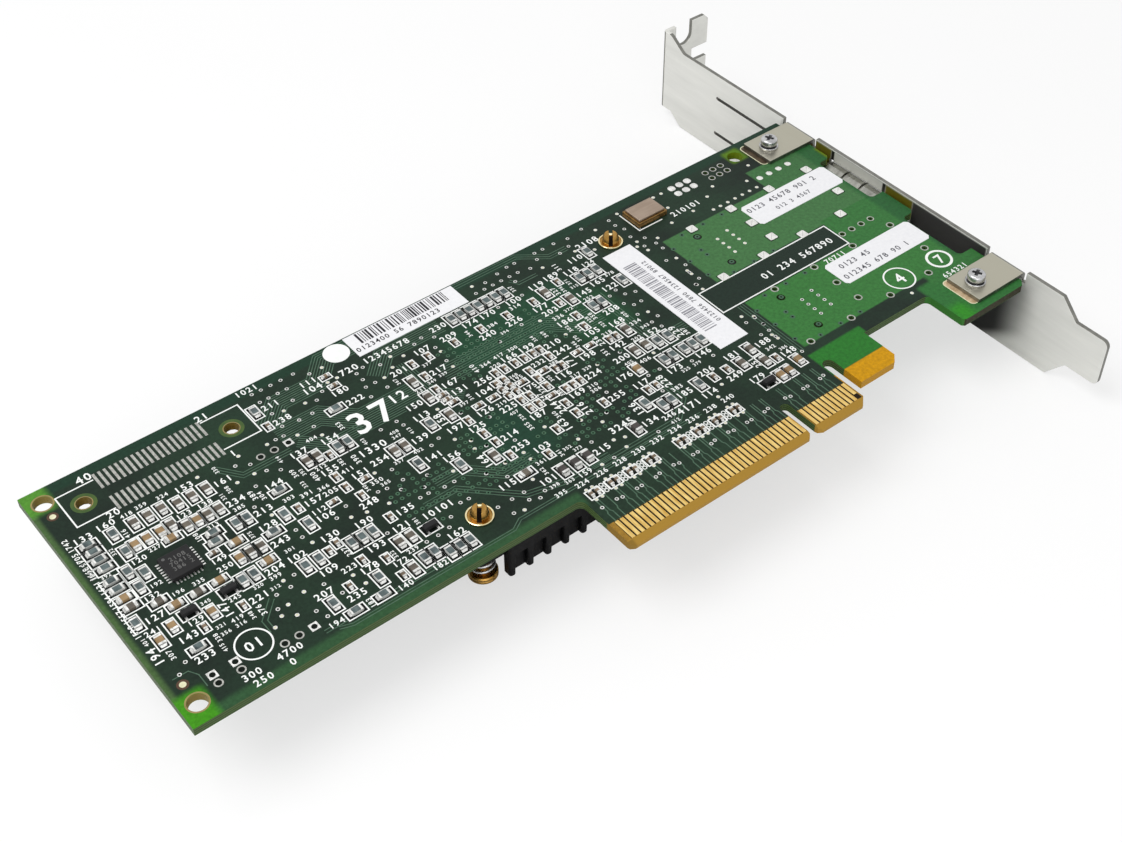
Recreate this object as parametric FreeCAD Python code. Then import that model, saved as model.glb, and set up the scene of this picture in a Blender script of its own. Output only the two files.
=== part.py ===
import FreeCAD, Part
import math
import os

V = FreeCAD.Vector
os.makedirs("parts", exist_ok=True)

# The frame: X runs toward the bracket, Y toward the card's upper edge, Z out of the solder face.
# The origin is the middle of the key notch, on the lower edge of the edge connector, in the solder face.

# Circuit board
board_thickness = 1.57
board_left = -110.0
board_right = 56.6
card_height = 68.9
body_bottom = 12.6
solder_face = 0.0
component_face = solder_face - board_thickness
inner_corner_r = 1.2

# Edge connector of the bus, eight lanes
contact_pitch = 1.0
contact_width = 0.7
contact_length = 4.3
contact_start = 1.3
short_contact_start = 2.5
contact_thickness = 0.05
short_section_contacts = 11
long_section_contacts = 38
first_contact_from_key = 1.5
key_width = 1.9
key_depth = 8.4
finger_end_margin = 1.35
finger_corner = 1.3
edge_bevel_height = 1.25
edge_bevel_depth = 0.45

# Retention tab beside the edge connector
tab_slot_width = 2.3
tab_slot_top = 11.7
tab_width = 9.5
tab_tip = 3.9
tab_corner = 1.4

# Lower board lug that carries the bracket's lower ear
lug_left = 40.2
lug_bottom = 3.7
lug_corner = 1.0

# Ports: the lower one is bare, the upper one carries a cage
lower_port_y = 23.9
port_spacing = 22.5
upper_port_y = lower_port_y + port_spacing
recess_depth = 3.2
recess_half_width = 7.2
recess_corner = 1.0
recess_lip = 0.7

# Cage pin pattern, measured from the port's middle line
pin_rows_apart = 14.25
pin_pitch = 10.0
pins_per_row = 4
lower_row_first_x = 15.1
upper_row_first_x = 20.0
middle_pins = ((30.1, 1.43), (30.1, -3.97), (49.9, -1.7))
pin_hole_d = 1.05
pin_width = 0.6
pin_depth = 0.3

# Cage body
sheet_thickness = 0.3
cage_standoff = 0.15
cage_back = 12.6
cage_nose = 1.3
cage_width = pin_rows_apart + sheet_thickness
cage_height = 9.7
cage_floor_start = 27.0
latch_width = 6.4
latch_slot = 0.5
latch_length = 9.0
latch_hole_side = 3.4

# Spring fingers round the cage's nose
finger_rise = 0.55
finger_foot = 0.15
collar_length = 3.4
finger_gap = 0.5
broad_finger_count = 3
narrow_finger_count = 2

# Host connector in the cage
connector_x = 19.3
connector_length = 8.2
connector_width = 11.4
connector_height = 5.6
connector_slot_height = 1.5
connector_slot_width = 9.4
connector_slot_depth = 5.5
connector_peg_d = 1.5
connector_peg_hole_d = 1.7
connector_pegs_apart = 9.5
connector_lead_pitch = 0.8
connector_leads_per_side = 10
connector_lead = (1.2, 0.35, 0.2)

# Bracket, full-height sheet steel
bracket_sheet = 0.86
board_to_bracket = 0.85
bracket_face = board_right + board_to_bracket
bracket_back = bracket_face + bracket_sheet
bracket_width = 18.42
bracket_length = 120.02
bracket_high_edge = 1.35
bracket_low_edge = bracket_high_edge - bracket_width
tongue_end = -14.92
bracket_top = tongue_end + bracket_length
tongue_width = 10.19
tongue_high_edge = -2.4
tongue_low_edge = tongue_high_edge - tongue_width
tongue_length = 7.2
tongue_corner_r = 1.3
shoulder_rise = abs(tongue_high_edge - bracket_high_edge)
tab_out = 11.43
tab_high_edge = 4.1
tab_low_edge = -14.6
tab_land = 2.6
tab_neck = 6.6
neck_r = 1.6
bend_r = 0.9
inner_bend_r = 0.3
outer_bend_r = 0.8
screw_slot_width = 4.42
screw_slot_out = 5.3
screw_slot_x = bracket_face + screw_slot_out
screw_slot_bottom = -1.0
tab_notch_depth = 4.4
tab_notch_high = -3.1
tab_notch_low = -6.3
tab_chamfer = 1.2
slit_width = 0.7
slit_drop = 17.6
slit_top = bracket_top - slit_drop
slit_length = 17.0
slit_levels = (-3.95, -12.6)
opening_clearance = 0.7

# Bracket ears, screws, washers and nuts
ear_length = 11.75
ear_tip = bracket_face - ear_length
ear_width = 7.7
ear_relief = 0.8
ear_root = -1.0
screw_inset = 8.55
screw_x = bracket_face - screw_inset
lower_screw_below_port = 14.8
upper_screw_above_port = 16.7
screw_d = 2.0
screw_hole_d = 2.3
screw_head_d = 3.6
screw_head_height = 1.6
screw_head_wall = 0.9
screw_head_crown_d = 2.5
recess_arm = 2.1
recess_arm_width = 0.6
recess_arm_depth = 0.8
washer_d = 3.9
washer_thickness = 0.5
nut_across_flats = 4.0
nut_height = 1.6
nut_sides = 6
thread_clearance = 0.1
screw_tip = 0.5

# A rounded slot end takes this share of the slot's width as its radius
slot_end_share = 0.49

# A cutter reaches this far past the surface that it opens
past = 1.0

# Sides of small round things, which stand in for a circle
drill_sides = 6
rod_sides = 12
head_sides = 16

# Other holes in the board
corner_hole_d = 3.2
corner_hole_inset = 2.8
lower_hole_inset = 3.7
upper_hole_inset = 3.3
corner_hole_ys = (body_bottom + lower_hole_inset, card_height - upper_hole_inset)
footprint_hole_d = 2.6
footprint_inset = 7.3
footprint_y = card_height - footprint_inset
footprint_middle = -88.5
footprint_holes_apart = 27.0
tooling_hole_x = 42.1
tooling_hole_inset = 3.4
tooling_hole = (tooling_hole_x, card_height - tooling_hole_inset)
tooling_hole_d = 3.2
lead_hole_d = 0.95
header_pitch = 2.0
filled_header_x = 27.3
filled_header_inset = 4.5
filled_header = (filled_header_x, card_height - filled_header_inset)
bare_header_x = 35.9
bare_header_inset = 4.7
bare_header = (bare_header_x, card_height - bare_header_inset)
indicator_pitch = 2.5
indicator_first_x = 41.0
indicator_rise = 10.8
indicator_pins = 4

# Indicator block beside the cage
indicator_width = 4.0
indicator_height = 7.4
indicator_start = 39.4
indicator_lens_d = 2.0
indicator_lens_out = 0.5
indicator_gap = 0.3
indicator_hole_d = 2.6
indicator_levels = (2.4, 5.3)

# Controller, thermal pad and heat sink
chip_x = -26.0
chip_y = 40.0
chip_side = 31.0
substrate_thickness = 1.6
lid_side = 27.0
lid_thickness = 1.0
pad_thickness = 0.25
sink_x = -24.5
sink_y = 40.0
fin_pitch = 3.7
fin_columns = 16
fin_thickness = 1.2
fin_rows = 1
fin_gap = 2.1
sink_width = 50.8
sink_length = (fin_columns - 1) * fin_pitch + fin_thickness
sink_base = 2.2
fin_height = 4.6
fin_web = 1.2
fin_web_inset = 1.0
pin_pocket = 3.6
sink_ear_r = 4.0
sink_ear_chamfer = 1.2

# Push pins that hold the heat sink, on one diagonal
pin_reach_x = 30.1
pin_reach_y = 20.15
push_pin_d = 2.7
push_pin_hole_d = 3.2
push_pin_head_d = 5.2
push_pin_head_height = 1.3
push_pin_drop = 7.2
collar_d = 4.7
collar_height = 0.4
barb_d = 2.9
barb_tip_d = 2.3
barb_height = 1.6
barb_slot = 0.8
barb_turn = -38.0
spring_wire = 0.55
spring_turns = 3
spring_steps = 9
spring_clearance = 0.3

# Oscillator on the solder face
oscillator_x = 15.9
oscillator_inset = 6.5
oscillator = (oscillator_x, card_height - oscillator_inset)
oscillator_size = (7.0, 5.0, 1.1)
oscillator_lid_margin = 0.35
oscillator_lid_height = 0.5

# Power controller on the solder face
power_controller = (-96.4, 40.5)
power_controller_side = 5.2
power_controller_height = 0.9

# Adhesive labels on the solder face: left, lower, right and upper edge
label_thickness = 0.1
square_labels = {
    "label_upper_edge": (-48.6, 62.9, -25.2, 68.6),
    "label_tall": (1.4, 25.1, 7.9, 57.4),
}
port_label_left = 31.2
port_label_length = 22.0
port_label_width = 6.4
port_label_middle_rise = 2.9
label_corner = 0.6

# Solder on the pins of the cage, the header and the indicator
cage_joint_side = 1.5
lead_joint_d = 1.35
joint_height = 0.2

# Chip parts: length, width and height
large_chip = (2.0, 1.25, 0.6)
small_chip = (1.1, 0.65, 0.5)
bead_chip = (2.0, 1.3, 0.9)
transistor_chip = (2.9, 1.3, 1.0)

# Places of the chip parts on the solder face, row by row: (y, the x of each part)
resistors_upright = (
    (62.3, (-70.1,)),
    (60.8, (-30.6, -28.6, -26.7, -24.7, -22.8, -20.8, -18.9)),
    (60.5, (0.2,)),
    (55.5, (-5.6, -3.7, -1.7)),
    (52.5, (-101.6,)),
    (50.3, (0.1,)),
    (48.0, (-101.7,)),
    (47.9, (-8.6, -6.7)),
    (46.6, (-63.7, -61.8)),
    (44.1, (-103.5,)),
    (42.4, (-101.5, -85.4, -83.5)),
    (41.5, (-48.8,)),
    (40.3, (-103.5,)),
    (39.3, (-78.5,)),
    (35.2, (-76.5, -55.6)),
    (34.4, (-107.3,)),
    (33.5, (-5.9, -3.5)),
    (31.7, (-90.6, -88.6)),
    (30.7, (-50.4,)),
    (29.1, (-8.1, -6.2, -3.6, -1.6, 0.4)),
    (28.1, (-81.6, -79.2)),
    (27.6, (-73.5, -71.6, -69.6)),
    (22.9, (-17.8,)),
    (20.8, (-15.7, -13.8, -7.5)),
    (19.2, (-82.3, -74.1)),
    (18.1, (-66.4, -64.5)),
    (16.6, (-62.6, -60.7, -58.8)),
)
resistors_level = (
    (54.5, (-59.0,)),
    (52.9, (-105.7,)),
    (51.0, (-105.7,)),
    (49.0, (-105.7,)),
    (47.0, (-105.7,)),
    (44.3, (-76.3,)),
    (44.0, (-106.3,)),
    (43.0, (-89.2,)),
    (42.0, (-106.3,)),
    (41.1, (-89.8,)),
    (37.2, (-81.7,)),
    (24.7, (-102.2,)),
    (16.0, (-80.4, -75.4)),
)
large_capacitors_upright = (
    (56.2, (-13.1,)),
    (52.6, (-97.9, -95.4, -93.0)),
    (52.0, (-90.4, -87.9, -85.3, -10.5)),
    (51.8, (-45.2,)),
    (48.6, (-93.5,)),
    (47.0, (-69.4, -67.5, -45.3)),
    (46.9, (-91.6, -87.9, -85.9)),
    (41.3, (-44.9,)),
    (40.0, (-57.0, -55.0)),
    (39.4, (-8.1,)),
    (35.9, (-86.7, -84.8)),
    (34.2, (-10.5, -8.1)),
    (29.0, (-44.9,)),
    (23.1, (-67.6, -65.5)),
    (21.9, (5.3,)),
    (20.1, (1.7,)),
    (18.1, (5.3,)),
    (17.4, (-68.9,)),
)
large_capacitors_level = (
    (37.7, (-106.3,)),
    (36.0, (-102.5,)),
    (33.9, (-97.0,)),
    (22.6, (-43.3,)),
)
tan_capacitors_upright = (
    (48.4, (-99.9, -97.8, -95.5)),
    (46.9, (-89.8,)),
    (35.9, (-88.6,)),
    (30.6, (-103.3,)),
    (30.3, (-13.2,)),
    (29.3, (-106.0, -97.3)),
    (14.7, (10.0,)),
    (13.7, (4.9, 6.8)),
)
tan_capacitors_level = (
    (46.1, (-94.8,)),
    (39.8, (-106.3,)),
    (39.1, (-87.3,)),
    (33.9, (-100.8, -93.3)),
    (32.7, (-85.5,)),
)
small_capacitors_upright = (
    (58.1, (-70.1,)),
    (57.3, (-9.4,)),
    (55.6, (-42.7, -39.3, -33.6, -27.9, -22.1, -16.2)),
    (52.5, (-12.7,)),
    (51.7, (-42.7,)),
    (47.8, (-43.1, -12.5)),
    (46.0, (-65.7,)),
    (44.7, (-32.8, -30.9, -28.6, -26.6, -24.7, -23.2, -13.2)),
    (42.4, (-34.4, -32.7, -22.9)),
    (41.5, (-27.9,)),
    (41.2, (-67.6,)),
    (40.7, (-34.4, -32.7)),
    (39.2, (-76.0, -27.9, -24.0, -22.6, -12.0, -10.5)),
    (39.0, (-34.4, -32.7)),
    (38.3, (-67.6, -43.3)),
    (36.7, (-33.4, -31.6, -27.9)),
    (35.2, (-66.6,)),
    (34.2, (-43.1, -33.4, -31.6, -25.8, -24.2, -22.6)),
    (31.4, (-42.7, -28.0)),
    (29.2, (-75.3,)),
    (28.5, (-77.1, -65.7, -28.0)),
    (27.5, (-99.6, -93.0, -42.7, -33.0, -22.9)),
    (25.2, (-15.1, -13.3)),
    (23.8, (-74.1, -37.6)),
    (21.8, (-70.9,)),
    (20.6, (-78.5, -4.3, -1.2)),
    (17.4, (-70.9, 7.4)),
)
small_capacitors_level = (
    (62.3, (-56.1,)),
    (59.5, (-56.1,)),
    (45.9, (-43.1,)),
    (44.6, (-43.1,)),
    (43.4, (-42.5,)),
    (40.1, (-39.8, -36.7, -30.6, -25.9, -18.5, -15.6)),
    (39.3, (-91.2,)),
    (37.9, (-64.1,)),
    (36.8, (-70.9,)),
    (34.3, (-28.6,)),
)
coupling_pairs = (-37.4, -33.4, -29.5, -25.4, -18.8, -14.8, -10.9, -6.9)
coupling_row_y = 12.4
coupling_pair_gap = 1.2
beads_upright = (
    (19.3, (-38.3, -35.7, -33.2, -22.8)),
)
transistors_level = (
    (31.4, (-100.0, -93.2)),
    (22.8, (-62.0,)),
    (13.7, (2.1,)),
)

# Parts of the hidden component face: middle, then length, width and height
inductor_places = ((-99.0, 45.5), (-99.0, 31.5))
inductor_size = (7.2, 7.2, 4.0)
inductor_chamfer = 1.2
polymer_places = ((-87.5, 50.0), (-87.5, 43.0), (-87.5, 34.0), (-87.5, 27.0))
polymer_size = (7.3, 4.3, 2.8)
switch_places = ((-78.0, 47.0), (-78.0, 38.5), (-78.0, 30.0))
switch_size = (5.0, 6.0, 1.5)
memory_place = (-67.5, 44.0)
memory_size = (11.8, 18.4, 1.1)
serial_memory_place = (-68.0, 26.0)
serial_memory_size = (4.9, 3.9, 1.5)
header_body_height = 2.2
header_pin_side = 0.5
header_pin_reach = 6.0
rear_chips_level = (
    (55.0, (-104.0, -100.5, -97.0)),
    (24.0, (-104.0, -100.5, -97.0)),
    (19.0, (-86.0, -82.5, -79.0, -75.5)),
)
rear_chips_upright = (
    (60.0, (14.0, 16.0, 18.0)),
    (33.0, (14.0, 16.0, 18.0)),
)


def outline(points, place):
    """A flat face from corner points (u, v, radius); place turns (u, v) into a point of space."""
    corners = [V(u, v, 0) for u, v, radius in points]
    starts, ends, arcs = [], [], []
    for number, (u, v, radius) in enumerate(points):
        corner = corners[number]
        if radius == 0:
            starts.append(corner)
            ends.append(corner)
            arcs.append(None)
            continue
        back = (corners[number - 1] - corner).normalize()
        ahead = (corners[(number + 1) % len(corners)] - corner).normalize()
        half = back.getAngle(ahead) / 2
        reach = radius / math.tan(half)
        centre = corner + (back + ahead).normalize() * (radius / math.sin(half))
        starts.append(corner + back * reach)
        ends.append(corner + ahead * reach)
        arcs.append(centre + (corner - centre).normalize() * radius)
    edges = []
    for number, middle in enumerate(arcs):
        start, end = starts[number], ends[number]
        following = starts[(number + 1) % len(arcs)]
        if middle is not None:
            edges.append(Part.Arc(place(start.x, start.y), place(middle.x, middle.y),
                                  place(end.x, end.y)).toShape())
        if end.distanceToPoint(following) > 1e-6:
            edges.append(Part.makeLine(place(end.x, end.y), place(following.x, following.y)))
    return Part.Face(Part.Wire(edges))


def level(height):
    """Corner points are (x, y) at this height."""
    return lambda u, v: V(u, v, height)


def upright(x):
    """Corner points are (y, z) at this x."""
    return lambda u, v: V(x, u, v)


def crosswise(y):
    """Corner points are (x, z) at this y."""
    return lambda u, v: V(u, y, v)


def box(x0, x1, y0, y1, z0, z1):
    """A box from its low and high sides."""
    return Part.makeBox(x1 - x0, y1 - y0, z1 - z0, V(x0, y0, z0))


def block(x, y, size, base, outward):
    """A box standing on a board face: outward is +1 on the solder face and -1 on the other."""
    length, width, height = size
    low = min(base, base + outward * height)
    return Part.makeBox(length, width, height, V(x - length / 2, y - width / 2, low))


def rod(x, y, z0, z1, diameter):
    """A round rod along Z."""
    return Part.makeCylinder(diameter / 2, z1 - z0, V(x, y, z0))


def ring_points(x, y, diameter, sides):
    """Corner points of a regular outline that stands in for a circle."""
    angles = [2 * math.pi * (i + 0.5) / sides for i in range(sides)]
    return [(x + diameter / 2 * math.cos(a), y + diameter / 2 * math.sin(a), 0) for a in angles]


def sided_rod(x, y, z0, z1, diameter, sides):
    """A small rod along Z with flat sides."""
    return outline(ring_points(x, y, diameter, sides), level(z0)).extrude(V(0, 0, z1 - z0))


def flat_sided(loops):
    """A solid from loops of corner points, one loop for each flat side."""
    faces = [Part.Face(Part.makePolygon(loop + loop[:1])) for loop in loops]
    return Part.Solid(Part.Shell(faces))


def sided_taper(x, y, z0, z1, low_d, high_d, sides):
    """A small cone along Z with flat sides."""
    low = [V(u, v, z0) for u, v, radius in ring_points(x, y, low_d, sides)]
    high = [V(u, v, z1) for u, v, radius in ring_points(x, y, high_d, sides)]
    walls = [[low[k - 1], low[k], high[k], high[k - 1]] for k in range(sides)]
    return flat_sided(walls + [low[::-1], high])


def coil(x, y, base, height, radius):
    """A coil spring of square wire that stands on base."""
    half_wire = spring_wire / 2
    corners = [(half_wire * out, half_wire * up) for out, up in ((-1, -1), (1, -1), (1, 1), (-1, 1))]
    count = spring_turns * spring_steps
    rings = []
    for i in range(count + 1):
        angle = 2 * math.pi * i / spring_steps
        rise = base + half_wire + (height - spring_wire) * i / count
        rings.append([V(x + (radius + out) * math.cos(angle), y + (radius + out) * math.sin(angle), rise + up)
                      for out, up in corners])
    loops = [rings[0], rings[-1][::-1]]
    for low, high in zip(rings, rings[1:]):
        for k in range(len(corners)):
            loops.append([low[k - 1], high[k - 1], high[k]])
            loops.append([low[k - 1], high[k], low[k]])
    return flat_sided(loops)


def cut_corners(left, low, right, high, cut):
    """Outline points of a rectangle whose four corners are cut off."""
    return [
        (left + cut, low, 0),
        (right - cut, low, 0),
        (right, low + cut, 0),
        (right, high - cut, 0),
        (right - cut, high, 0),
        (left + cut, high, 0),
        (left, high - cut, 0),
        (left, low + cut, 0),
    ]


def turned(size):
    """The same part turned a quarter turn on the board."""
    length, width, height = size
    return (width, length, height)


def set_rows(rows, size, base=solder_face, outward=1):
    """Chip parts set out row by row."""
    return [block(x, y, size, base, outward) for y, places in rows for x in places]


def save(name, shape):
    """One node, written as its own file."""
    shape.exportStep("parts/" + name + ".step")


def group(name, solids):
    """One node made of separate equal solids."""
    save(name, Part.makeCompound(solids))


def cage_pins(port_y):
    """Middles of the pins of one port."""
    low = [(lower_row_first_x + i * pin_pitch, port_y - pin_rows_apart / 2) for i in range(pins_per_row)]
    high = [(upper_row_first_x + i * pin_pitch, port_y + pin_rows_apart / 2) for i in range(pins_per_row)]
    return low + high + [(x, port_y + rise) for x, rise in middle_pins]


def header_pins(middle):
    """Middles of a header of three by two pins."""
    x, y = middle
    return [(x + i * header_pitch, y + j * header_pitch) for i in (-1, 0, 1) for j in (-0.5, 0.5)]


def indicator_leads(port_y):
    """Middles of the leads of a port's indicator block."""
    return [(indicator_first_x + i * indicator_pitch, port_y + indicator_rise) for i in range(indicator_pins)]


def connector_pegs(port_y):
    """Middles of the two pegs of a port's host connector."""
    return [(connector_x, port_y + side * connector_pegs_apart / 2) for side in (-1, 1)]


def port_recess(port_y):
    """Corner points of the cut in the board's right edge in front of a port, from low to high."""
    inner = board_right - recess_depth
    low = port_y - recess_half_width
    high = port_y + recess_half_width
    return [
        (board_right, low, 0),
        (inner, low, recess_corner),
        (inner, high, recess_corner),
        (board_right - recess_lip, high, 0),
        (board_right, high + recess_lip, 0),
    ]


# Places that several pieces share
finger_left = -first_contact_from_key - (long_section_contacts - 1) * contact_pitch - finger_end_margin
finger_right = first_contact_from_key + (short_section_contacts - 1) * contact_pitch + contact_width
tab_left = finger_right + tab_slot_width
tab_right = tab_left + tab_width
ear_middles = (lower_port_y - lower_screw_below_port, upper_port_y + upper_screw_above_port)
screw_places = [(screw_x, y) for y in ear_middles]
push_pins = [(sink_x - pin_reach_x, sink_y - pin_reach_y), (sink_x + pin_reach_x, sink_y + pin_reach_y)]
lid_face = component_face - substrate_thickness - lid_thickness
sink_face = lid_face - pad_thickness
fin_face = sink_face - sink_base
cage_top = component_face - cage_standoff
cage_bottom = cage_top - cage_height
cage_front = bracket_back + cage_nose
cage_low_y = upper_port_y - cage_width / 2
cage_high_y = upper_port_y + cage_width / 2
indicator_y = upper_port_y + indicator_rise

# Circuit board: outline, bevelled connector edge and holes
board_points = [
    (board_left, body_bottom, 0),
    (finger_left, body_bottom, inner_corner_r),
    (finger_left, finger_corner / 2, 0),
    (finger_left + finger_corner / 2, 0, 0),
    (-key_width / 2 - finger_corner / 2, 0, 0),
    (-key_width / 2, finger_corner / 2, 0),
    (-key_width / 2, key_depth, key_width * slot_end_share),
    (key_width / 2, key_depth, key_width * slot_end_share),
    (key_width / 2, finger_corner / 2, 0),
    (key_width / 2 + finger_corner / 2, 0, 0),
    (finger_right - finger_corner, 0, 0),
    (finger_right, finger_corner, 0),
    (finger_right, tab_slot_top, tab_slot_width * slot_end_share),
    (tab_left, tab_slot_top, tab_slot_width * slot_end_share),
    (tab_left, tab_tip, 0),
    (tab_right - tab_corner, tab_tip, 0),
    (tab_right, tab_tip + tab_corner, 0),
    (tab_right, body_bottom, 0),
    (lug_left, body_bottom, inner_corner_r),
    (lug_left, lug_bottom + lug_corner / 2, 0),
    (lug_left + lug_corner / 2, lug_bottom, 0),
    (board_right - lug_corner, lug_bottom, 0),
    (board_right, lug_bottom + lug_corner, 0),
]
board_points += port_recess(lower_port_y) + port_recess(upper_port_y)
board_points += [
    (board_right, card_height, 0),
    (board_left, card_height, 0),
]
board = outline(board_points, level(component_face)).extrude(V(0, 0, board_thickness))
bevel_points = [(0, 0, 0), (edge_bevel_height, 0, 0), (0, -edge_bevel_depth, 0)]
bevel_length = finger_right - finger_left
bevels = []
for face_height, inward in ((solder_face, 1), (component_face, -1)):
    corner_points = [(u, face_height + inward * v, 0) for u, v, radius in bevel_points]
    wedge = outline(corner_points, upright(finger_left)).extrude(V(bevel_length, 0, 0))
    bevels.append(wedge)
corner_x = board_left + corner_hole_inset
half_footprint = footprint_holes_apart / 2
drill_low = component_face - past
drill_high = solder_face + past
drills = [rod(corner_x, y, drill_low, drill_high, corner_hole_d) for y in corner_hole_ys]
bores = [(footprint_middle + side * half_footprint, footprint_y, footprint_hole_d) for side in (-1, 1)]
bores += [tooling_hole + (tooling_hole_d,)]
bores += [(x, y, screw_hole_d) for x, y in screw_places]
bores += [(x, y, push_pin_hole_d) for x, y in push_pins]
small_holes = []
for port_y in (lower_port_y, upper_port_y):
    bores += [(x, y, connector_peg_hole_d) for x, y in connector_pegs(port_y)]
    small_holes += [(x, y, pin_hole_d) for x, y in cage_pins(port_y)]
    small_holes += [(x, y, lead_hole_d) for x, y in indicator_leads(port_y)]
for middle in (filled_header, bare_header):
    small_holes += [(x, y, lead_hole_d) for x, y in header_pins(middle)]
drills += [sided_rod(x, y, drill_low, drill_high, d, rod_sides) for x, y, d in bores]
drills += [sided_rod(x, y, drill_low, drill_high, d, drill_sides) for x, y, d in small_holes]
save("circuit_board", board.cut(bevels + drills))

# Gold contacts on both faces of the edge connector
contact_xs = [first_contact_from_key + i * contact_pitch for i in range(short_section_contacts)]
contact_xs += [-first_contact_from_key - i * contact_pitch for i in range(long_section_contacts)]
presence_x = contact_xs[short_section_contacts - 1]
contact_top = contact_start + contact_length
for name, face_height, outward in (("edge_contacts_solder_side", solder_face, 1),
                                   ("edge_contacts_component_side", component_face, -1)):
    pads = []
    for x in contact_xs:
        start = short_contact_start if x == presence_x else contact_start
        pad_size = (contact_width, contact_top - start, contact_thickness)
        pads.append(block(x, (start + contact_top) / 2, pad_size, face_height, outward))
    group(name, pads)

# Bracket: plate with two slits, folded tab with screw slot, and folded ears
plate_points = [
    (bracket_top, tab_low_edge, 0),
    (bracket_top - tab_land - bend_r, tab_low_edge, 0),
    (bracket_top - tab_neck, bracket_low_edge, 0),
    (tongue_end + tongue_length + shoulder_rise, bracket_low_edge, 0),
    (tongue_end + tongue_length, tongue_low_edge, 0),
    (tongue_end, tongue_low_edge, tongue_corner_r),
    (tongue_end, tongue_high_edge, tongue_corner_r),
    (tongue_end + tongue_length, tongue_high_edge, 0),
    (tongue_end + tongue_length + shoulder_rise, bracket_high_edge, 0),
]
for middle in ear_middles:
    low = middle - ear_width / 2 - ear_relief
    high = middle + ear_width / 2 + ear_relief
    plate_points += [
        (low, bracket_high_edge, 0),
        (low, ear_root, 0),
        (high, ear_root, 0),
        (high, bracket_high_edge, 0),
    ]
plate_points += [
    (bracket_top - tab_neck, bracket_high_edge, neck_r),
    (bracket_top - tab_land, tab_high_edge, neck_r),
    (bracket_top, tab_high_edge, 0),
]
plate = outline(plate_points, upright(bracket_face)).extrude(V(bracket_sheet, 0, 0))
tab_end = bracket_back + tab_out
slot_left = screw_slot_x - screw_slot_width / 2
slot_right = screw_slot_x + screw_slot_width / 2
tab_points = [
    (bracket_face, tab_high_edge, 0),
    (slot_left, tab_high_edge, 0),
    (slot_left, screw_slot_bottom, screw_slot_width * slot_end_share),
    (slot_right, screw_slot_bottom, screw_slot_width * slot_end_share),
    (slot_right, tab_high_edge, 0),
    (tab_end - tab_chamfer, tab_high_edge, 0),
    (tab_end, tab_high_edge - tab_chamfer, 0),
    (tab_end, tab_notch_high, 0),
    (tab_end - tab_notch_depth, tab_notch_high, 0),
    (tab_end - tab_notch_depth, tab_notch_low, 0),
    (tab_end, tab_notch_low, 0),
    (tab_end, tab_low_edge + tab_chamfer, 0),
    (tab_end - tab_chamfer, tab_low_edge, 0),
    (bracket_face, tab_low_edge, 0),
]
tab = outline(tab_points, crosswise(bracket_top)).extrude(V(0, -bracket_sheet, 0))
bracket = plate.fuse(tab).removeSplitter()
bend_edges = []
for edge in bracket.Edges:
    middle = edge.valueAt((edge.FirstParameter + edge.LastParameter) / 2)
    outside = abs(middle.x - bracket_face) < 0.01 and abs(middle.y - bracket_top) < 0.01
    if outside and edge.Length > screw_slot_width:
        bend_edges.append(edge)
bracket = bracket.makeFillet(bend_r, bend_edges)
ear_face = solder_face + bracket_sheet
ear_points = [
    (ear_tip, solder_face, 0),
    (bracket_face, solder_face, inner_bend_r),
    (bracket_face, ear_root, 0),
    (bracket_back, ear_root, 0),
    (bracket_back, ear_face, outer_bend_r),
    (ear_tip, ear_face, 0),
]
for middle in ear_middles:
    ear = outline(ear_points, crosswise(middle - ear_width / 2)).extrude(V(0, ear_width, 0))
    bracket = bracket.fuse(ear)
opening_half = cage_width / 2 + opening_clearance
port_opening = box(bracket_face - past, bracket_back + past,
                   upper_port_y - opening_half, upper_port_y + opening_half,
                   cage_bottom - opening_clearance, cage_top + opening_clearance)
cutters = [port_opening]
half_slit = slit_width / 2
for slit_level in slit_levels:
    low, high = slit_level - half_slit, slit_level + half_slit
    slit_points = cut_corners(slit_top - slit_length, low, slit_top, high, half_slit / 2)
    slit = outline(slit_points, upright(bracket_face - past)).extrude(V(bracket_sheet + 2 * past, 0, 0))
    cutters.append(slit)
for drop in indicator_levels:
    hole_points = ring_points(indicator_y, component_face - drop, indicator_hole_d, rod_sides)
    hole = outline(hole_points, upright(bracket_face - past)).extrude(V(bracket_sheet + 2 * past, 0, 0))
    cutters.append(hole)
for x, y in screw_places:
    cutters.append(sided_rod(x, y, solder_face - past, ear_face + past, screw_hole_d, rod_sides))
save("bracket", bracket.cut(cutters).removeSplitter())

# Screws, washers and nuts of the bracket
head_base = ear_face + washer_thickness
head_top = head_base + screw_head_height
nut_base = component_face - nut_height
nut_across_corners = nut_across_flats / math.cos(math.pi / nut_sides)
head_shoulder = head_base + screw_head_wall
screws, washers, nuts = [], [], []
for x, y in screw_places:
    head = sided_rod(x, y, head_base, head_shoulder, screw_head_d, head_sides)
    head = head.fuse(sided_taper(x, y, head_shoulder, head_top, screw_head_d, screw_head_crown_d, head_sides))
    for arm in ((recess_arm, recess_arm_width), (recess_arm_width, recess_arm)):
        head = head.cut(block(x, y, arm + (recess_arm_depth,), head_top, -1))
    shank = sided_rod(x, y, nut_base - screw_tip, head_base, screw_d, rod_sides)
    screws.append(head.fuse(shank).removeSplitter())
    washer = sided_rod(x, y, ear_face, head_base, washer_d, head_sides)
    washers.append(washer.cut(sided_rod(x, y, solder_face, head_base + past, screw_hole_d, rod_sides)))
    nut = sided_rod(x, y, nut_base, component_face, nut_across_corners, nut_sides)
    thread = sided_rod(x, y, nut_base - past, solder_face, screw_d + thread_clearance, rod_sides)
    nuts.append(nut.cut(thread))
group("bracket_screws", screws)
group("screw_washers", washers)
group("bracket_nuts", nuts)

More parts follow.
